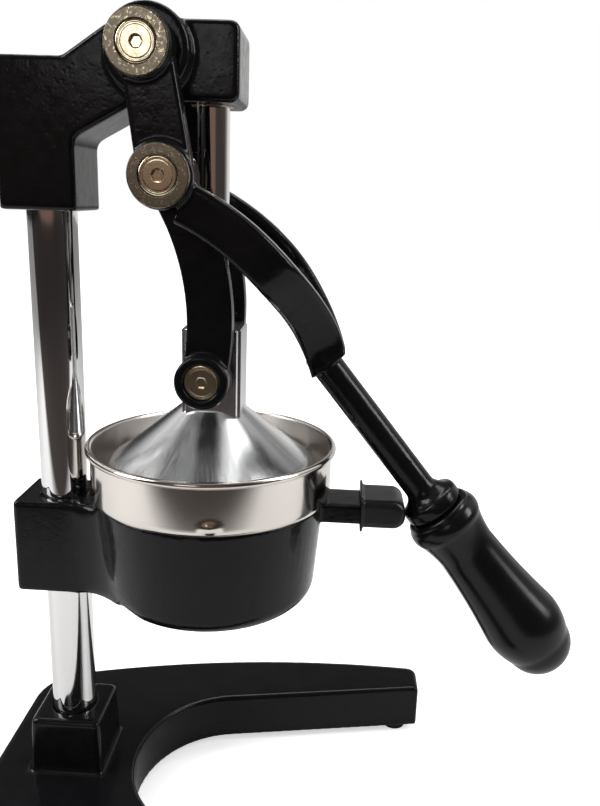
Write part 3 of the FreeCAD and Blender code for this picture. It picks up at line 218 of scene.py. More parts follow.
def soften_shading(mesh, angle=35):
    """Smooth shading, with edges sharper than an angle kept crisp."""
    form = bmesh.new()
    form.from_mesh(mesh)
    for face in form.faces:
        face.smooth = True
    for edge in form.edges:
        edge.smooth = len(edge.link_faces) != 2 or edge.calc_face_angle(0) < math.radians(angle)
    form.to_mesh(mesh)
    form.free()


def dress(piece, material, body, slot, *nodes):
    """Give a finished mesh its material and put it in the place of its CAD nodes."""
    piece.data.materials.clear()
    piece.data.materials.append(material)
    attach(piece, body)
    if nodes:
        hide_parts(*nodes)
    return piece


def settle(piece):
    """Turn the piece's modifiers into its mesh."""
    depsgraph = bpy.context.evaluated_depsgraph_get()
    mesh = bpy.data.meshes.new_from_object(piece.evaluated_get(depsgraph))
    piece.modifiers.clear()
    piece.data = mesh
    return piece


def arc(start, end, radius, side, steps=12):
    """Points of an arc after its start; side +1 bulges to the left of the way."""
    start = Vector(start)
    end = Vector(end)
    chord = end - start
    normal = Vector((-chord.y, chord.x)).normalized() * side
    rise = math.sqrt(max(radius ** 2 - (chord.length / 2) ** 2, 0))
    centre = (start + end) / 2 - normal * rise
    first = start - centre
    last = end - centre
    turn = first.angle_signed(last)
    points = []
    for step in range(1, steps + 1):
        angle = -turn * step / steps
        points.append(centre + Matrix.Rotation(angle, 2) @ first)
    return [(point.x, point.y) for point in points]


def profile_line(points):
    """Points of a profile; one with four numbers is the end of an arc."""
    line = []
    for point in points:
        if len(point) == 2:
            line.append(tuple(point))
        else:
            line.extend(arc(line[-1], point[:2], point[2], point[3]))
    return line


def refined(line, step):
    """The same line with points added on its longer runs."""
    result = [line[0]]
    for start, end in zip(line, line[1:]):
        parts = max(1, math.ceil((Vector(end) - Vector(start)).length / step))
        for part in range(1, parts + 1):
            result.append(tuple(Vector(start).lerp(Vector(end), part / parts)))
    return result


def turned(name, line, segments, origin=(0, 0, 0), axis=(0, 0, 1), closed=False):
    """A body of revolution from (radius, height) points along an axis."""
    form = bmesh.new()
    frame_turn = Vector(axis).normalized().to_track_quat("Z", "Y").to_matrix()
    origin = Vector(origin)
    rings = []
    for radius, height in line:
        if radius < 1e-7:
            rings.append([form.verts.new(origin + frame_turn @ Vector((0, 0, height)))])
            continue
        ring = []
        for index in range(segments):
            angle = 2 * math.pi * index / segments
            spot = Vector((radius * math.cos(angle), radius * math.sin(angle), height))
            ring.append(form.verts.new(origin + frame_turn @ spot))
        rings.append(ring)
    pairs = list(zip(rings, rings[1:]))
    if closed:
        pairs.append((rings[-1], rings[0]))
    for low, high in pairs:
        for index in range(segments):
            after = (index + 1) % segments
            corners = [low[index % len(low)], low[after % len(low)],
                       high[after % len(high)], high[index % len(high)]]
            unique = list(dict.fromkeys(corners))
            if len(unique) > 2:
                form.faces.new(unique)
    bmesh.ops.recalc_face_normals(form, faces=form.faces)
    mesh = bpy.data.meshes.new(name)
    form.to_mesh(mesh)
    form.free()
    return mesh


def merged_copy(nodes):
    """The CAD nodes' triangles as one joined mesh."""
    form = bmesh.new()
    for node in nodes:
        form.from_mesh(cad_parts[node].data)
    bmesh.ops.remove_doubles(form, verts=form.verts, dist=1e-6)
    mesh = bpy.data.meshes.new("_".join(nodes))
    form.to_mesh(mesh)
    form.free()
    return mesh


def cast_skin(name, nodes, skin, rounds, relief, lump, crease=None):
    """A casting's skin: its CAD form with softened edges and a rough sand surface.
    Where crease gives a share above 0, an inner corner is filled to a soft blend."""
    piece = new_piece(name, merged_copy(nodes))
    remesh = piece.modifiers.new("Skin", "REMESH")
    remesh.mode = "VOXEL"
    remesh.voxel_size = skin
    settle(piece)
    soften = piece.modifiers.new("Soften", "SMOOTH")
    soften.factor = 0.5
    soften.iterations = rounds
    if crease:
        group = piece.vertex_groups.new(name="Crease")
        for vertex in piece.data.vertices:
            group.add([vertex.index], crease(vertex.co), "REPLACE")
        blend = piece.modifiers.new("Blend", "SMOOTH")
        blend.factor = 0.5
        blend.iterations = CREASE_ROUNDS
        blend.vertex_group = group.name
    settle(piece)
    mesh = piece.data
    normals = [tuple(normal.vector) for normal in mesh.vertex_normals]
    for vertex, normal in zip(mesh.vertices, normals):
        spot = vertex.co / lump
        wave = noise.noise(spot) + 0.5 * noise.noise(spot * 2.3)
        vertex.co += Vector(normal) * wave * relief
    for polygon in mesh.polygons:
        polygon.use_smooth = True
    return piece


def ramp(value, low, high):
    """0 below low, 1 above high, straight between."""
    return min(max((value - low) / (high - low), 0.0), 1.0)


def cup_crease(spot):
    """How much of the blend a point of the cup holder takes: its arm meets the cup here."""
    ahead = spot.x - PLUNGER.x
    side = abs(spot.y)
    raised = ramp(spot.z - HOLDER_FOOT, 9 * MM, 14 * MM)
    wall = CREASE_FLOOR_RADIUS + (CREASE_WALL_RADIUS - CREASE_FLOOR_RADIUS) * raised
    outside = ramp(math.hypot(ahead, side), wall, wall + 1.4 * MM)
    along = (ramp(ahead, -CREASE_REAR, 6 * MM - CREASE_REAR)
             * ramp(-ahead, CREASE_FRONT, CREASE_FRONT + 8 * MM))
    under_rim = ramp(HOLDER_TOP - spot.z, 3 * MM, 9 * MM)
    return outside * along * under_rim * ramp(side, CREASE_SIDE, CREASE_SIDE + 4 * MM)


# Materials

class Graph:
    """Adds nodes to a tree and joins them by the names of their sockets."""

    def __init__(self, tree):
        self.tree = tree

    def add(self, kind, **values):
        node = self.tree.nodes.new(kind)
        for name, value in values.items():
            setattr(node, name, value)
        return node

    def put(self, node, **inputs):
        for name, value in inputs.items():
            socket = self.socket(node, name)
            if isinstance(value, bpy.types.NodeSocket):
                self.tree.links.new(value, socket)
            else:
                socket.default_value = value
        return node

    def socket(self, node, name):
        if name.startswith("slot_"):
            return node.inputs[int(name[5:])]
        return node.inputs[name.replace("_", " ")]

    def math(self, operation, first, second=0.0):
        node = self.add("ShaderNodeMath", operation=operation)
        self.put(node, slot_0=first, slot_1=second)
        return node.outputs[0]

    def noise(self, vector, scale, detail=2.0, roughness=0.5):
        node = self.add("ShaderNodeTexNoise")
        self.put(node, Vector=vector, Scale=scale, Detail=detail, Roughness=roughness)
        return node.outputs[0]

    def spread(self, value, low, high, new_low, new_high):
        node = self.add("ShaderNodeMapRange")
        self.put(node, Value=value, slot_1=low, slot_2=high, slot_3=new_low, slot_4=new_high)
        return node.outputs[0]

    def mapped(self, vector, location=(0, 0, 0), scale=(1, 1, 1)):
        node = self.add("ShaderNodeMapping")
        self.put(node, Vector=vector, Location=location, Scale=scale)
        return node.outputs[0]

    def bump(self, height, distance, normal=None):
        node = self.add("ShaderNodeBump")
        self.put(node, Height=height, Distance=distance, Strength=1.0)
        if normal:
            self.put(node, Normal=normal)
        return node.outputs[0]

    def blend(self, factor, first, second):
        node = self.add("ShaderNodeMix", data_type="RGBA")
        self.tree.links.new(factor, node.inputs[0])
        for index, value in ((6, first), (7, second)):
            if isinstance(value, bpy.types.NodeSocket):
                self.tree.links.new(value, node.inputs[index])
            else:
                node.inputs[index].default_value = (*value, 1)
        return node.outputs[2]


def new_material(name):
    """A material with its graph, its shader and its object coordinates."""
    material = bpy.data.materials.new(name)
    material.use_nodes = True
    graph = Graph(material.node_tree)
    shader = material.node_tree.nodes["Principled BSDF"]
    place = graph.add("ShaderNodeTexCoord").outputs["Object"]
    return material, graph, shader, place


def shade(colour, factor):
    return tuple(min(channel * factor, 1) for channel in colour)


def enamel_material():
    """Black enamel that follows a rough sand casting: waves, orange peel and pits."""
    settings = bpy.context.scene.press_castings
    material, graph, shader, place = new_material("Black enamel")
    colour = tuple(settings.enamel)
    cloud = graph.noise(place, 60, 3)
    graph.put(shader, Base_Color=graph.blend(cloud, shade(colour, 0.7), shade(colour, 1.6)))
    patches = graph.noise(place, 220, 3)
    graph.put(shader, Roughness=graph.spread(patches, 0.35, 0.65, 0.10, 0.22))
    shader.inputs["Specular IOR Level"].default_value = 0.17
    peel = graph.bump(graph.noise(place, 1 / settings.pit, 2.5), 0.036 * MM)
    cells = graph.add("ShaderNodeTexVoronoi", feature="SMOOTH_F1")
    graph.put(cells, Vector=place, Scale=0.42 / settings.pit, Smoothness=0.6)
    pits = graph.spread(cells.outputs["Distance"], 0.0, 0.35, 0.0, 1.0)
    graph.put(shader, Normal=graph.bump(pits, 0.035 * MM, peel))
    return material


def chrome_material():
    """Bright plating with the faint lines of its drawn bar."""
    material, graph, shader, place = new_material("Chrome")
    colour = tuple(bpy.context.scene.press_metals.chrome)
    lines = graph.noise(graph.mapped(place, scale=(900, 900, 8)), 1, 2)
    smears = graph.noise(graph.mapped(place, scale=(60, 60, 12)), 1, 3)
    graph.put(shader, Base_Color=graph.blend(smears, shade(colour, 0.88), colour), Metallic=1.0,
              Roughness=graph.spread(smears, 0.35, 0.7, 0.035, 0.09))
    graph.put(shader, Normal=graph.bump(lines, 0.004 * MM))
    return material


def nickel_material():
    """Warm nickel with a pebbled face and worn bright spots."""
    material, graph, shader, place = new_material("Nickel")
    colour = tuple(bpy.context.scene.press_metals.nickel)
    grains = graph.noise(place, 1500, 2)
    spots = graph.noise(place, 420, 4, 0.65)
    graph.put(shader, Metallic=1.0,
              Base_Color=graph.blend(graph.spread(spots, 0.35, 0.7, 0, 1),
                                     shade(colour, 0.72), shade(colour, 1.2)),
              Roughness=graph.spread(spots, 0.3, 0.7, 0.22, 0.10))
    coarse = graph.bump(spots, 0.03 * MM)
    graph.put(shader, Normal=graph.bump(grains, 0.02 * MM, coarse))
    return material


def worn_nickel_material():
    """Duller nickel of the washers, with bright specks."""
    material, graph, shader, place = new_material("Worn nickel")
    colour = tuple(bpy.context.scene.press_metals.washer)
    spots = graph.noise(place, 900, 5, 0.7)
    specks = graph.noise(place, 1900, 2)
    graph.put(shader, Metallic=1.0,
              Base_Color=graph.blend(graph.spread(spots, 0.56, 0.66, 0, 1),
                                     colour, shade(colour, 3.6)),
              Roughness=graph.spread(spots, 0.35, 0.65, 0.36, 0.22))
    graph.put(shader, Normal=graph.bump(specks, 0.012 * MM))
    return material


def zinc_material():
    material, graph, shader, place = new_material("Zinc plate")
    spots = graph.noise(place, 500, 3)
    graph.put(shader, Metallic=1.0,
              Base_Color=graph.blend(spots, (0.50, 0.51, 0.52), (0.66, 0.67, 0.66)),
              Roughness=graph.spread(spots, 0.3, 0.7, 0.32, 0.45))
    graph.put(shader, Normal=graph.bump(spots, 0.02 * MM))
    return material


def steel_material():
    """Satin stainless sheet, brushed round its axis, with painted shade darkening the inside of
    the bowl.
    """
    material, graph, shader, place = new_material("Satin stainless")
    colour = tuple(bpy.context.scene.press_metals.steel)
    centred = graph.mapped(place, location=(-PLUNGER.x, 0, 0))
    parts = graph.add("ShaderNodeSeparateXYZ")
    graph.put(parts, Vector=centred)
    square = graph.math("ADD", graph.math("MULTIPLY", parts.outputs[0], parts.outputs[0]),
                        graph.math("MULTIPLY", parts.outputs[1], parts.outputs[1]))
    radius = graph.math("SQRT", square)
    rings = graph.add("ShaderNodeCombineXYZ")
    graph.put(rings, X=graph.math("MULTIPLY", radius, 2600), Y=graph.math(
        "MULTIPLY", parts.outputs[2], 2600), Z=graph.math("MULTIPLY", parts.outputs[0], 25))
    lines = graph.noise(rings.outputs[0], 1, 2)
    smudge = graph.noise(place, 45, 3)
    # painted shade: inside the wall's outer face, on the bowl's inside and on the reamer, the
    # colour is darkened to 0.62 and the finish is rougher
    outside = graph.spread(radius, 58.9 * MM, 59.5 * MM, 0, 1)
    sheet = graph.blend(smudge, shade(colour, 0.86), colour)
    graph.put(shader, Metallic=1.0,
              Base_Color=graph.blend(outside, shade(colour, 0.62), sheet),
              Roughness=graph.spread(outside, 0, 1, 0.34, 0.13))
    graph.put(shader, Normal=graph.bump(lines, 0.004 * MM))
    return material


def aluminium_material():
    """Polished aluminium with streaks that run down the cone."""
    material, graph, shader, place = new_material("Polished aluminium")
    colour = tuple(bpy.context.scene.press_metals.aluminium)
    centred = graph.mapped(place, location=(-PLUNGER.x, 0, 0), scale=(1, 1, 0))
    direction = graph.add("ShaderNodeVectorMath", operation="NORMALIZE")
    graph.put(direction, slot_0=centred)
    parts = graph.add("ShaderNodeSeparateXYZ")
    graph.put(parts, Vector=place)
    spokes = graph.add("ShaderNodeVectorMath", operation="ADD")
    height = graph.add("ShaderNodeCombineXYZ")
    graph.put(height, Z=graph.math("MULTIPLY", parts.outputs[2], 4))
    graph.put(spokes, slot_0=direction.outputs[0], slot_1=height.outputs[0])
    streaks = graph.noise(spokes.outputs[0], 7, 4, 0.6)
    fine = graph.noise(spokes.outputs[0], 60, 2)
    dark = graph.spread(streaks, 0.36, 0.66, 0.0, 1.0)
    graph.put(shader, Metallic=1.0,
              Base_Color=graph.blend(dark, shade(colour, 0.88), shade(colour, 1.04)),
              Roughness=graph.spread(fine, 0.3, 0.7, 0.19, 0.27))
    graph.put(shader, Normal=graph.bump(fine, 0.003 * MM))
    return material


def bronze_material():
    material, graph, shader, place = new_material("Bronze")
    spots = graph.noise(place, 300, 3)
    graph.put(shader, Metallic=1.0, Roughness=0.35,
              Base_Color=graph.blend(spots, (0.42, 0.27, 0.13), (0.60, 0.42, 0.22)))
    return material


def grip_material():
    """Smooth moulded plastic with a soft gloss."""
    material, graph, shader, place = new_material("Grip plastic")
    colour = tuple(bpy.context.scene.press_soft.grip)
    cloud = graph.noise(place, 40, 3)
    scuffs = graph.noise(place, 900, 3)
    graph.put(shader, Base_Color=graph.blend(cloud, colour, shade(colour, 1.5)),
              Roughness=graph.spread(cloud, 0.3, 0.7, 0.16, 0.24))
    shader.inputs["Specular IOR Level"].default_value = 0.22
    graph.put(shader, Normal=graph.bump(scuffs, 0.01 * MM))
    return material


def rubber_material():
    material, graph, shader, place = new_material("Rubber")
    colour = tuple(bpy.context.scene.press_soft.rubber)
    cloud = graph.noise(place, 120, 3)
    grain = graph.noise(place, 1400, 2)
    graph.put(shader, Base_Color=graph.blend(cloud, shade(colour, 0.7), shade(colour, 1.3)),
              Roughness=graph.spread(cloud, 0.3, 0.7, 0.26, 0.38), Specular_IOR_Level=0.3)
    graph.put(shader, Normal=graph.bump(grain, 0.02 * MM))
    return material


MAKERS = {
    "enamel": enamel_material,
    "chrome": chrome_material,
    "nickel": nickel_material,
    "worn nickel": worn_nickel_material,
    "zinc": zinc_material,
    "steel": steel_material,
    "aluminium": aluminium_material,
    "bronze": bronze_material,
    "grip": grip_material,
    "rubber": rubber_material,
}
made = {}


def finish_of(name):
    """The material of this name, made once."""
    if name not in made:
        made[name] = MAKERS[name]()
    return made[name]


def repaint(finish, *nodes):
    """Give CAD nodes that stay as they are a better material."""
    for node in nodes:
        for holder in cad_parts[node].material_slots:
            holder.material = finish_of(finish)


# Pairs of pivot hardware, one on each side of the press

def pair_tree():
    """Two copies of a pattern piece, facing away from the middle plane."""
    tree = bpy.data.node_groups.new("Pivot pair", "GeometryNodeTree")
    for name, kind in (("Geometry", "NodeSocketGeometry"), ("Pattern", "NodeSocketObject"),
                       ("Place X", "NodeSocketFloat"), ("Place Z", "NodeSocketFloat"),
                       ("Half spacing", "NodeSocketFloat"), ("Finish", "NodeSocketMaterial")):
        tree.interface.new_socket(name, in_out="INPUT", socket_type=kind)
    tree.interface.new_socket("Geometry", in_out="OUTPUT", socket_type="NodeSocketGeometry")
    graph = Graph(tree)
    given = graph.add("NodeGroupInput")
    near = graph.math("MULTIPLY", given.outputs["Half spacing"], -1.0)
    start = graph.add("ShaderNodeCombineXYZ")
    graph.put(start, X=given.outputs["Place X"], Y=near, Z=given.outputs["Place Z"])
    stride = graph.add("ShaderNodeCombineXYZ")
    graph.put(stride, Y=graph.math("MULTIPLY", given.outputs["Half spacing"], 2.0))
    places = graph.add("GeometryNodeMeshLine")
    graph.put(places, Count=2, Start_Location=start.outputs[0], Offset=stride.outputs[0])
    turn = graph.add("ShaderNodeCombineXYZ")
    graph.put(turn, Z=graph.math("MULTIPLY", graph.add("GeometryNodeInputIndex").outputs[0],
                                 math.pi))
    pattern = graph.add("GeometryNodeObjectInfo")
    graph.put(pattern, Object=given.outputs["Pattern"])
    copies = graph.add("GeometryNodeInstanceOnPoints")
    graph.put(copies, Points=places.outputs[0], Instance=pattern.outputs["Geometry"],
              Rotation=turn.outputs[0])
    real = graph.add("GeometryNodeRealizeInstances")
    graph.put(real, Geometry=copies.outputs[0])
    painted = graph.add("GeometryNodeSetMaterial")
    graph.put(painted, Geometry=real.outputs[0], Material=given.outputs["Finish"])
    result = graph.add("NodeGroupOutput")
    graph.put(result, Geometry=painted.outputs[0])
    return tree


def set_inputs(modifier, values):
    """Set a node modifier's inputs, found by name, through their identifiers."""
    for item in modifier.node_group.interface.items_tree:
        if item.item_type == "SOCKET" and item.in_out == "INPUT" and item.name in values:
            modifier[item.identifier] = values[item.name]


def hardware_pair(name, pattern, node, body, face, finish="nickel"):
    """The pair of pattern pieces that stands in the place of a CAD node."""
    low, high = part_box(node)
    piece = new_piece(name, bpy.data.meshes.new(name))
    modifier = piece.modifiers.new("Pair", "NODES")
    modifier.node_group = bpy.data.node_groups.get("Pivot pair") or pair_tree()
    set_inputs(modifier, {
        "Pattern": pattern, "Place X": (low.x + high.x) / 2, "Place Z": (low.z + high.z) / 2,
        "Half spacing": face, "Finish": finish_of(finish)})
    settle(piece)
    soften_shading(piece.data, 30)
    return dress(piece, finish_of(finish), body, "nickel", node)


def washer_pattern():
    """A thick washer with eased edges, its outer face at the origin, facing -Y."""
    low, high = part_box("top_pivot_washers")
    radius = (high.x - low.x) / 2
    hole = 8.25 * MM
    thick = 3.0 * MM
    bore = 6.05 * MM
    sink = 2.4 * MM
    line = [(bore, thick), (radius, thick), (radius, 0.8 * MM), (radius, 0.5 * MM),
            (radius - 0.15 * MM, 0.15 * MM), (radius - 0.5 * MM, 0), (radius - 0.7 * MM, 0),
            (hole + 0.6 * MM, 0), (hole + 0.4 * MM, 0), (hole + 0.1 * MM, 0.15 * MM),
            (hole, 0.4 * MM), (hole, sink), (bore, sink)]
    mesh = turned("Washer pattern", line, 96, axis=(0, 1, 0), closed=True)
    return new_piece("Washer_pattern", mesh)


def screw_pattern(name, length):
    """A socket screw with a groove round its flat head, its face at the origin."""
    head = 8.15 * MM
    shank = 6.0 * MM
    socket = 2.5 * MM
    line = [(0, 1.5 * MM), (socket * 0.95, 1.5 * MM), (socket, 0.15 * MM),
            (socket + 0.25 * MM, 0.0), (socket + 0.45 * MM, 0.0), (head * 0.71, 0.0),
            (head * 0.74, 0.0), (head * 0.77, 0.05 * MM), (head * 0.79, 0.3 * MM),
            (head * 0.84, 0.3 * MM), (head * 0.86, 0.05 * MM), (head * 0.88, 0.02 * MM),
            (head - 0.5 * MM, 0.05 * MM), (head - 0.1 * MM, 0.3 * MM), (head, 0.7 * MM),
            (head, 2.4 * MM), (shank, 2.4 * MM), (shank, length), (0, length)]
    mesh = turned(name, line, 72, axis=(0, 1, 0))
    for vertex in mesh.vertices:
        reach = Vector((vertex.co.x, 0, vertex.co.z)).length
        if 1e-6 < reach < socket * 1.05 and vertex.co.y < 1.6 * MM:
            angle = math.atan2(vertex.co.z, vertex.co.x) % (math.pi / 3)
            flat = math.cos(math.pi / 6) / math.cos(angle - math.pi / 6)
            vertex.co.x *= flat
            vertex.co.z *= flat
    return new_piece(name, mesh)


# Operators

class PRESS_OT_castings(bpy.types.Operator):
    """Base, cup holder and head as enamelled castings"""
    bl_idname = "press.castings"
    bl_label = "Castings"

    def execute(self, context):
        settings = context.scene.press_castings
        for name, node, coarser, rounds, crease in (
                ("Horseshoe_base", "base_casting", 1.15, 7, None),
                ("Cup_holder_casting", "cup_holder", 1.0, 4, cup_crease),
                ("Head_arm_casting", "head_casting", 1.0, 4, None)):
            piece = cast_skin(name, [node], settings.skin * coarser, rounds,
                              settings.relief, settings.lump, crease)
            dress(piece, finish_of("enamel"), "frame", "black_casting", node)
        return {"FINISHED"}


class PRESS_OT_lever(bpy.types.Operator):
    """The forked lever with its arms, eyes and collar"""
    bl_idname = "press.lever"
    bl_label = "Lever fork"

    def execute(self, context):
        settings = context.scene.press_castings
        piece = cast_skin("Lever_fork_casting", ["lever_fork"], settings.skin * 0.75, 3,
                          settings.relief * 0.8, settings.lump)
        dress(piece, finish_of("enamel"), "lever", "black_lever", "lever_fork")
        return {"FINISHED"}


class PRESS_OT_grip(bpy.types.Operator):
    """The turned plastic grip on the lever's bar"""
    bl_idname = "press.grip"
    bl_label = "Grip"

    def execute(self, context):
        root = Vector((PLUNGER.x + BAR_ROOT_FORWARD, 0, BAR_ROOT_HEIGHT))
        angle = math.radians(BAR_SLOPE_DEGREES)
        along = Vector((math.cos(angle), 0, -math.sin(angle)))
        start = root + along * GRIP_START
        points = [(5.05, 0), (15.2, 0), (17.2, 2, 2, -1), (18.9, 5.5, 9, -1), (17.9, 11.5, 9, -1),
                  (15.3, 26, 62, 1), (20.3, 74, 380, 1), (17.7, 92, 34, -1),
                  (5.5, 107, 16, -1), (2.5, 108, 16, -1), (0, 108)]
        line = profile_line([(a * MM, b * MM, *(c * MM if i == 0 else c
                                                for i, c in enumerate(rest)))
                             for a, b, *rest in points])
        line += [(0, 62 * MM), (5.05 * MM, 62 * MM)]
        mesh = turned("Turned_grip", line, 128, start, along, closed=True)
        soften_shading(mesh, 40)
        piece = new_piece("Turned_grip", mesh)
        dress(piece, finish_of("grip"), "lever", "black_grip", "lever_grip")
        return {"FINISHED"}


class PRESS_OT_connecting_rods(bpy.types.Operator):
    """The two bowed rods between elbow and wrist"""
    bl_idname = "press.connecting_rods"
    bl_label = "Connecting rods"

    def execute(self, context):
        settings = context.scene.press_castings
        for side in ("near", "far"):
            node = "connecting_rod_" + side
            piece = cast_skin("Bowed_rod_" + side, [node], settings.skin * 0.6, 3,
                              settings.relief * 0.6, settings.lump)
            dress(piece, finish_of("enamel"), "connecting_rods", "black_lever", node)
        return {"FINISHED"}


class PRESS_OT_bowl(bpy.types.Operator):
    """The strainer bowl of pressed sheet with its rolled rim and dimples"""
    bl_idname = "press.bowl"
    bl_label = "Strainer bowl"

    def execute(self, context):
        bowl = context.scene.press_bowl
        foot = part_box("cup_holder")[1].z
        wall = bowl.wall_radius
        brim = foot + bowl.wall_height
        sheet = bowl.sheet
        bend = bowl.bend
        neck = BOWL_NECK_RADIUS
        neck_low = BOWL_NECK_FOOT_RADIUS
        neck_foot = foot - BOWL_NECK_DEPTH
        spout = BOWL_SPOUT_RADIUS
        funnel = neck_foot - BOWL_FUNNEL_DROP
        spout_foot = funnel - BOWL_SPOUT_DROP
        bead = bowl.bead_radius
        centre = wall + bead - sheet
        roll = [(centre + bead * math.cos(math.radians(angle)),
                 brim + bead * math.sin(math.radians(angle)))
                for angle in range(-140, 181, 16)]
        outside = profile_line([
            (spout - sheet, spout_foot), (spout, spout_foot), (spout, funnel),
            (neck_low, neck_foot), (neck, foot), (wall - bend, foot),
            (wall, foot + bend, bend, -1)])
        inside = profile_line([
            (wall - sheet, foot + bend), (wall - bend, foot + sheet, bend - sheet, 1),
            (neck - sheet, foot + sheet), (neck_low - sheet, neck_foot + sheet),
            (spout - sheet, funnel + sheet)])
        line = refined(outside + [(wall, brim - bead)], 1.2 * MM) + roll + refined(inside, 3 * MM)
        mesh = turned("Bowl", line, 360, (PLUNGER.x, 0, 0), closed=True)
        for vertex in mesh.vertices:
            self.press_dimple(vertex, bowl, foot + bowl.dimple_rise)
        soften_shading(mesh, 50)
        piece = new_piece("Sheet_bowl", mesh)
        dress(piece, finish_of("steel"), "frame", "satin_steel", "strainer_bowl")
        return {"FINISHED"}

    def press_dimple(self, vertex, bowl, height):
        flat = Vector((vertex.co.x - PLUNGER.x, vertex.co.y))
        if flat.length < bowl.wall_radius - 2 * bowl.sheet:
            return
        for index in range(bowl.dimples):
            angle = math.radians(index * 360 / bowl.dimples + FIRST_DIMPLE_DEGREES)
            toward = Vector((math.cos(angle), math.sin(angle)))
            side = flat.cross(toward)
            if flat.dot(toward) < 0:
                continue
            reach = math.hypot(side / bowl.dimple_width,
                               (vertex.co.z - height) / bowl.dimple_tall)
            if reach < 1:
                out = bowl.dimple_height * (1 - reach ** 2) ** 1.5
                vertex.co.x += toward.x * out
                vertex.co.y += toward.y * out


class PRESS_OT_press_cone(bpy.types.Operator):
    """The polished press cone with its upright block and rod"""
    bl_idname = "press.press_cone"
    bl_label = "Press cone and rod"

    def execute(self, context):
        low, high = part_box("press_cone")
        lip = low.z
        points = [(0, 36), (15.5, 36), (47, 11), (52.5, 5, 9.5, 1), (52.5, 0.4), (52.1, 0),
                  (48.5, 0), (48.5, 3), (43, 7), (11.5, 30.4), (0, 30.4)]
        line = profile_line([(a * MM, lip + b * MM, *(c * MM if i == 0 else c
                                                      for i, c in enumerate(rest)))
                             for a, b, *rest in points])
        mesh = turned("Cone", line, context.scene.press_metals.segments, (PLUNGER.x, 0, 0))
        form = bmesh.new()
        form.from_mesh(mesh)
        block = bmesh.ops.create_cube(form, size=1.0)["verts"]
        base = lip + BLOCK_RISE
        for vertex in block:
            vertex.co = Vector((PLUNGER.x + (BLOCK_FRONT if vertex.co.x > 0 else -BLOCK_REAR),
                                vertex.co.y * BLOCK_WIDTH,
                                base + (vertex.co.z + 0.5) * (high.z - base)))
        edges = {edge for vertex in block for edge in vertex.link_edges}
        upright = [edge for edge in edges
                   if abs(edge.verts[0].co.z - edge.verts[1].co.z) > 1 * MM]
        bmesh.ops.bevel(form, geom=upright, offset=2 * MM, segments=5, affect="EDGES")
        rim = [edge for edge in form.edges
               if all(abs(vertex.co.z - high.z) < 1e-6 for vertex in edge.verts)]
        bmesh.ops.bevel(form, geom=rim, offset=0.5 * MM, segments=2, affect="EDGES")
        form.to_mesh(mesh)
        form.free()
        soften_shading(mesh, 28)
        piece = new_piece("Press_cone_and_block", mesh)
        dress(piece, finish_of("aluminium"), "plunger", "press_aluminium", "press_cone")
        low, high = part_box("plunger_rod")
        radius = (high.x - low.x) / 2
        ease = 1.0 * MM
        line = [(0, low.z), (radius - ease, low.z), (radius, low.z + ease),
                (radius, high.z - ease), (radius - ease, high.z), (0, high.z)]
        mesh = turned("Rod", line, 96, (PLUNGER.x, 0, 0))
        soften_shading(mesh, 30)
        piece = new_piece("Plated_plunger_rod", mesh)
        dress(piece, finish_of("chrome"), "plunger", "chrome", "plunger_rod")
        return {"FINISHED"}


class PRESS_OT_column(bpy.types.Operator):
    """The plated column with its fastening"""
    bl_idname = "press.column"
    bl_label = "Column"

    def execute(self, context):
        low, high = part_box("column")
        radius = (high.x - low.x) / 2
        ease = 0.6 * MM
        line = [(0, low.z), (radius - ease, low.z), (radius, low.z + ease),
                (radius, high.z - ease), (radius - ease, high.z), (0, high.z)]
        mesh = turned("Column", line, 128, (COLUMN.x, 0, 0))
        soften_shading(mesh, 30)
        piece = new_piece("Plated_column", mesh)
        dress(piece, finish_of("chrome"), "frame", "chrome", "column")
        repaint("zinc", "column_washer", "column_bolt", "foot_screws", "holder_set_screw",
                "head_set_screws")
        repaint("steel", "reamer_cone")
        repaint("bronze", "guide_bush")
        return {"FINISHED"}


class PRESS_OT_pivot_hardware(bpy.types.Operator):
    """Washers and socket screws of the three pivots"""
    bl_idname = "press.pivot_hardware"
    bl_label = "Pivot hardware"

    def execute(self, context):
        washer = washer_pattern()
        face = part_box("top_pivot_washers")[1].y
        hardware_pair("Top_washers", washer, "top_pivot_washers", "frame", face,
                      "worn nickel")
        hardware_pair("Elbow_washers", washer, "elbow_pivot_washers", "connecting_rods",
                      face, "worn nickel")
        for name, node, body in (("Top_screws", "top_pivot_bolts", "frame"),
                                 ("Elbow_screws", "elbow_pivot_bolts", "connecting_rods"),
                                 ("Wrist_screws", "wrist_pivot_bolts", "connecting_rods")):
            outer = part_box(node)[1].y
            pattern = screw_pattern(name + "_pattern", outer - SCREW_ENDS[node])
            hardware_pair(name, pattern, node, body, outer)
            bpy.data.objects.remove(pattern)
        bpy.data.objects.remove(washer)
        return {"FINISHED"}


class PRESS_OT_rubber(bpy.types.Operator):
    """The bumper boot and the rubber feet"""
    bl_idname = "press.rubber"
    bl_label = "Boot and feet"

    def execute(self, context):
        piece = cast_skin("Bumper_boot", ["bumper_boot"], 0.45 * MM, 12, 0.0, 5 * MM)
        dress(piece, finish_of("rubber"), "frame", "black_rubber", "bumper_boot")
        repaint("rubber", "rubber_feet")
        return {"FINISHED"}


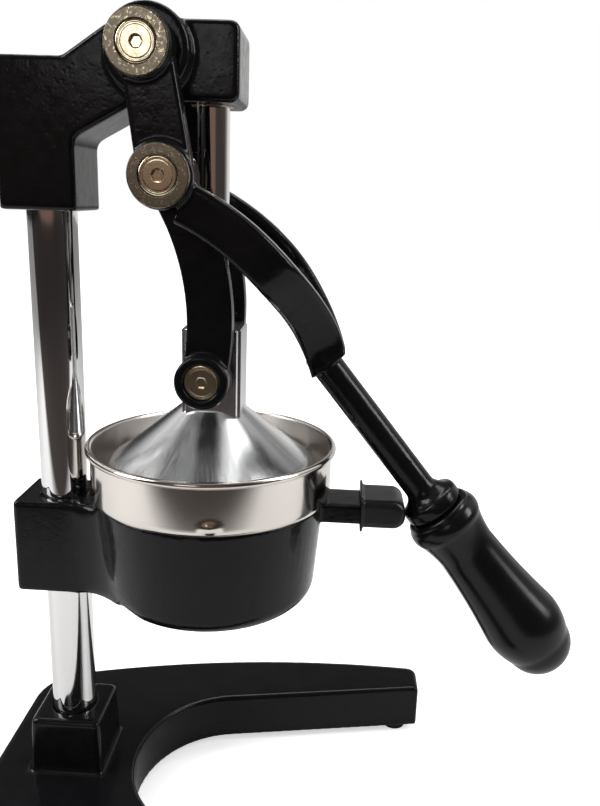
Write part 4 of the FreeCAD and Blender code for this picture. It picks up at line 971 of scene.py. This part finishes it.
class PRESS_OT_stage(bpy.types.Operator):
    """The pale table, the soft lights and the camera"""
    bl_idname = "press.stage"
    bl_label = "Stage"

    def execute(self, context):
        self.floor(context.scene.press_stage)
        self.world()
        self.lamps()
        self.camera(context.scene.press_stage)
        context.scene.view_settings.view_transform = "Standard"
        return {"FINISHED"}

    def floor(self, settings):
        form = bmesh.new()
        bmesh.ops.create_grid(form, x_segments=1, y_segments=1, size=8.0)
        mesh = bpy.data.meshes.new("Table")
        form.to_mesh(mesh)
        form.free()
        piece = new_piece("Table", mesh)
        material, graph, shader, place = new_material("Pale table")
        parts = graph.add("ShaderNodeSeparateXYZ")
        graph.put(parts, Vector=place)
        # the pale table ends in front of the press and a dark room begins
        paper = graph.spread(parts.outputs[1], -0.50, -0.36, 0.0, 1.0)
        graph.put(shader, Roughness=0.9,
                  Base_Color=graph.blend(paper, (0.03, 0.022, 0.02), tuple(settings.floor)))
        glow = graph.add("ShaderNodeEmission")
        rays = graph.add("ShaderNodeLightPath")
        reach = graph.add("ShaderNodeVectorMath", operation="LENGTH")
        graph.put(reach, slot_0=place)
        level = graph.spread(reach.outputs["Value"], 0.22, 0.50, settings.glow, 1.0)
        graph.put(glow, Strength=graph.math("MULTIPLY", rays.outputs["Is Camera Ray"], level))
        both = graph.add("ShaderNodeAddShader")
        graph.put(both, slot_0=shader.outputs[0], slot_1=glow.outputs[0])
        output = material.node_tree.nodes["Material Output"]
        graph.put(output, Surface=both.outputs[0])
        piece.data.materials.append(material)

    def world(self):
        """White paper for the camera; for the metal, a room with dark and bright walls."""
        world = bpy.data.worlds.new("Studio")
        bpy.context.scene.world = world
        world.use_nodes = True
        graph = Graph(world.node_tree)
        background = world.node_tree.nodes["Background"]
        place = graph.add("ShaderNodeTexCoord").outputs["Generated"]
        parts = graph.add("ShaderNodeSeparateXYZ")
        graph.put(parts, Vector=place)
        # the share of the way round: 0.5 towards the camera, 0.75 to the grip's side
        away = graph.math("MULTIPLY", parts.outputs[1], -1.0)
        turned_by = graph.math("ARCTAN2", parts.outputs[0], away)
        round_share = graph.math("ADD", graph.math("DIVIDE", turned_by, 2 * math.pi), 0.5)
        walls = self.ring(graph, round_share, ROOM_WALLS)
        upper = self.ring(graph, round_share, ROOM_UPPER)
        raised = graph.spread(parts.outputs[2], 0.22, 0.42, 0.0, 1.0)
        level = graph.blend(raised, walls, upper)
        ceiling = graph.spread(parts.outputs[2], 0.80, 0.92, 0.0, 1.0)
        lit = graph.blend(ceiling, level, ROOM_CEILING)
        rays = graph.add("ShaderNodeLightPath")
        seen = graph.blend(rays.outputs["Is Camera Ray"], lit, (1.0, 1.0, 1.0))
        graph.put(background, Color=seen, Strength=1.0)

    def ring(self, graph, share, stops):
        """Light levels round the press, from (degrees, colour) pairs."""
        ramp = graph.add("ShaderNodeValToRGB")
        graph.put(ramp, Fac=share)
        marks = ramp.color_ramp.elements
        while len(marks) < len(stops):
            marks.new(0.5)
        for mark, (degrees, colour) in zip(marks, stops):
            mark.position = degrees / 360 + 0.5
            mark.color = (*colour, 1)
        return ramp.outputs[0]

    def lamps(self):
        aim = Vector((PLUNGER.x, 0, 0.22))
        for name, spot, size, power in (
                ("Window", (-1.1, -0.35, 0.95), (0.5, 0.9), 14.0),
                ("Door", (1.15, -0.2, 1.0), (0.4, 0.9), 12.0),
                ("Ceiling", (0.0, 0.55, 1.7), (1.4, 0.5), 12.0),
                ("Front", (-0.33, -1.25, 0.70), (0.40, 0.34), 0.9)):
            data = bpy.data.lights.new(name, "AREA")
            data.shape = "RECTANGLE"
            data.size, data.size_y = size
            data.energy = power
            lamp = bpy.data.objects.new(name, data)
            lamp.location = spot
            lamp.rotation_euler = (aim - Vector(spot)).to_track_quat("-Z", "Y").to_euler()
            bpy.context.scene.collection.objects.link(lamp)

    def camera(self, settings):
        data = bpy.data.cameras.new("Photograph")
        data.sensor_fit = "HORIZONTAL"
        data.sensor_width = 36
        data.lens = settings.lens
        data.clip_start = 0.01
        forward = Vector((-0.04247, 0.96599, -0.25505)).normalized()
        right = forward.cross(Vector((0, 0, 1))).normalized()
        up = right.cross(forward)
        roll = math.radians(1.89)
        right, up = (math.cos(roll) * right + math.sin(roll) * up,
                     -math.sin(roll) * right + math.cos(roll) * up)
        place = Matrix((right, up, -forward)).transposed().to_4x4()
        place.translation = (PLUNGER.x + 59.82 * MM, -372.87 * MM, 339.05 * MM)
        camera = bpy.data.objects.new("Photograph", data)
        camera.matrix_world = place
        bpy.context.scene.collection.objects.link(camera)
        bpy.context.scene.camera = camera


STEPS = ("castings", "lever", "grip", "connecting_rods", "bowl", "press_cone", "column",
         "pivot_hardware", "rubber", "stage")


class PRESS_PT_panel(bpy.types.Panel):
    """The steps that dress the press"""
    bl_idname = "PRESS_PT_panel"
    bl_label = "Citrus press"
    bl_space_type = "VIEW_3D"
    bl_region_type = "UI"
    bl_category = "Citrus press"

    def draw(self, context):
        for name in SETTINGS:
            group = getattr(context.scene, name)
            box = self.layout.box()
            for key in group.bl_rna.properties.keys():
                if key not in ("rna_type", "name"):
                    box.prop(group, key)
        for step in STEPS:
            self.layout.operator("press." + step)


CLASSES = (CastingSettings, MetalSettings, BowlSettings, SoftSettings, StageSettings,
           PRESS_OT_castings, PRESS_OT_lever, PRESS_OT_grip, PRESS_OT_connecting_rods,
           PRESS_OT_bowl, PRESS_OT_press_cone, PRESS_OT_column, PRESS_OT_pivot_hardware,
           PRESS_OT_rubber, PRESS_OT_stage, PRESS_PT_panel)


def register():
    for item in CLASSES:
        bpy.utils.register_class(item)
    for name, group in SETTINGS.items():
        setattr(bpy.types.Scene, name, bpy.props.PointerProperty(type=group))


def unregister():
    for name in SETTINGS:
        delattr(bpy.types.Scene, name)
    for item in reversed(CLASSES):
        bpy.utils.unregister_class(item)


def main():
    register()
    for step in STEPS:
        getattr(bpy.ops.press, step)()


if __name__ == "__main__":
    main()
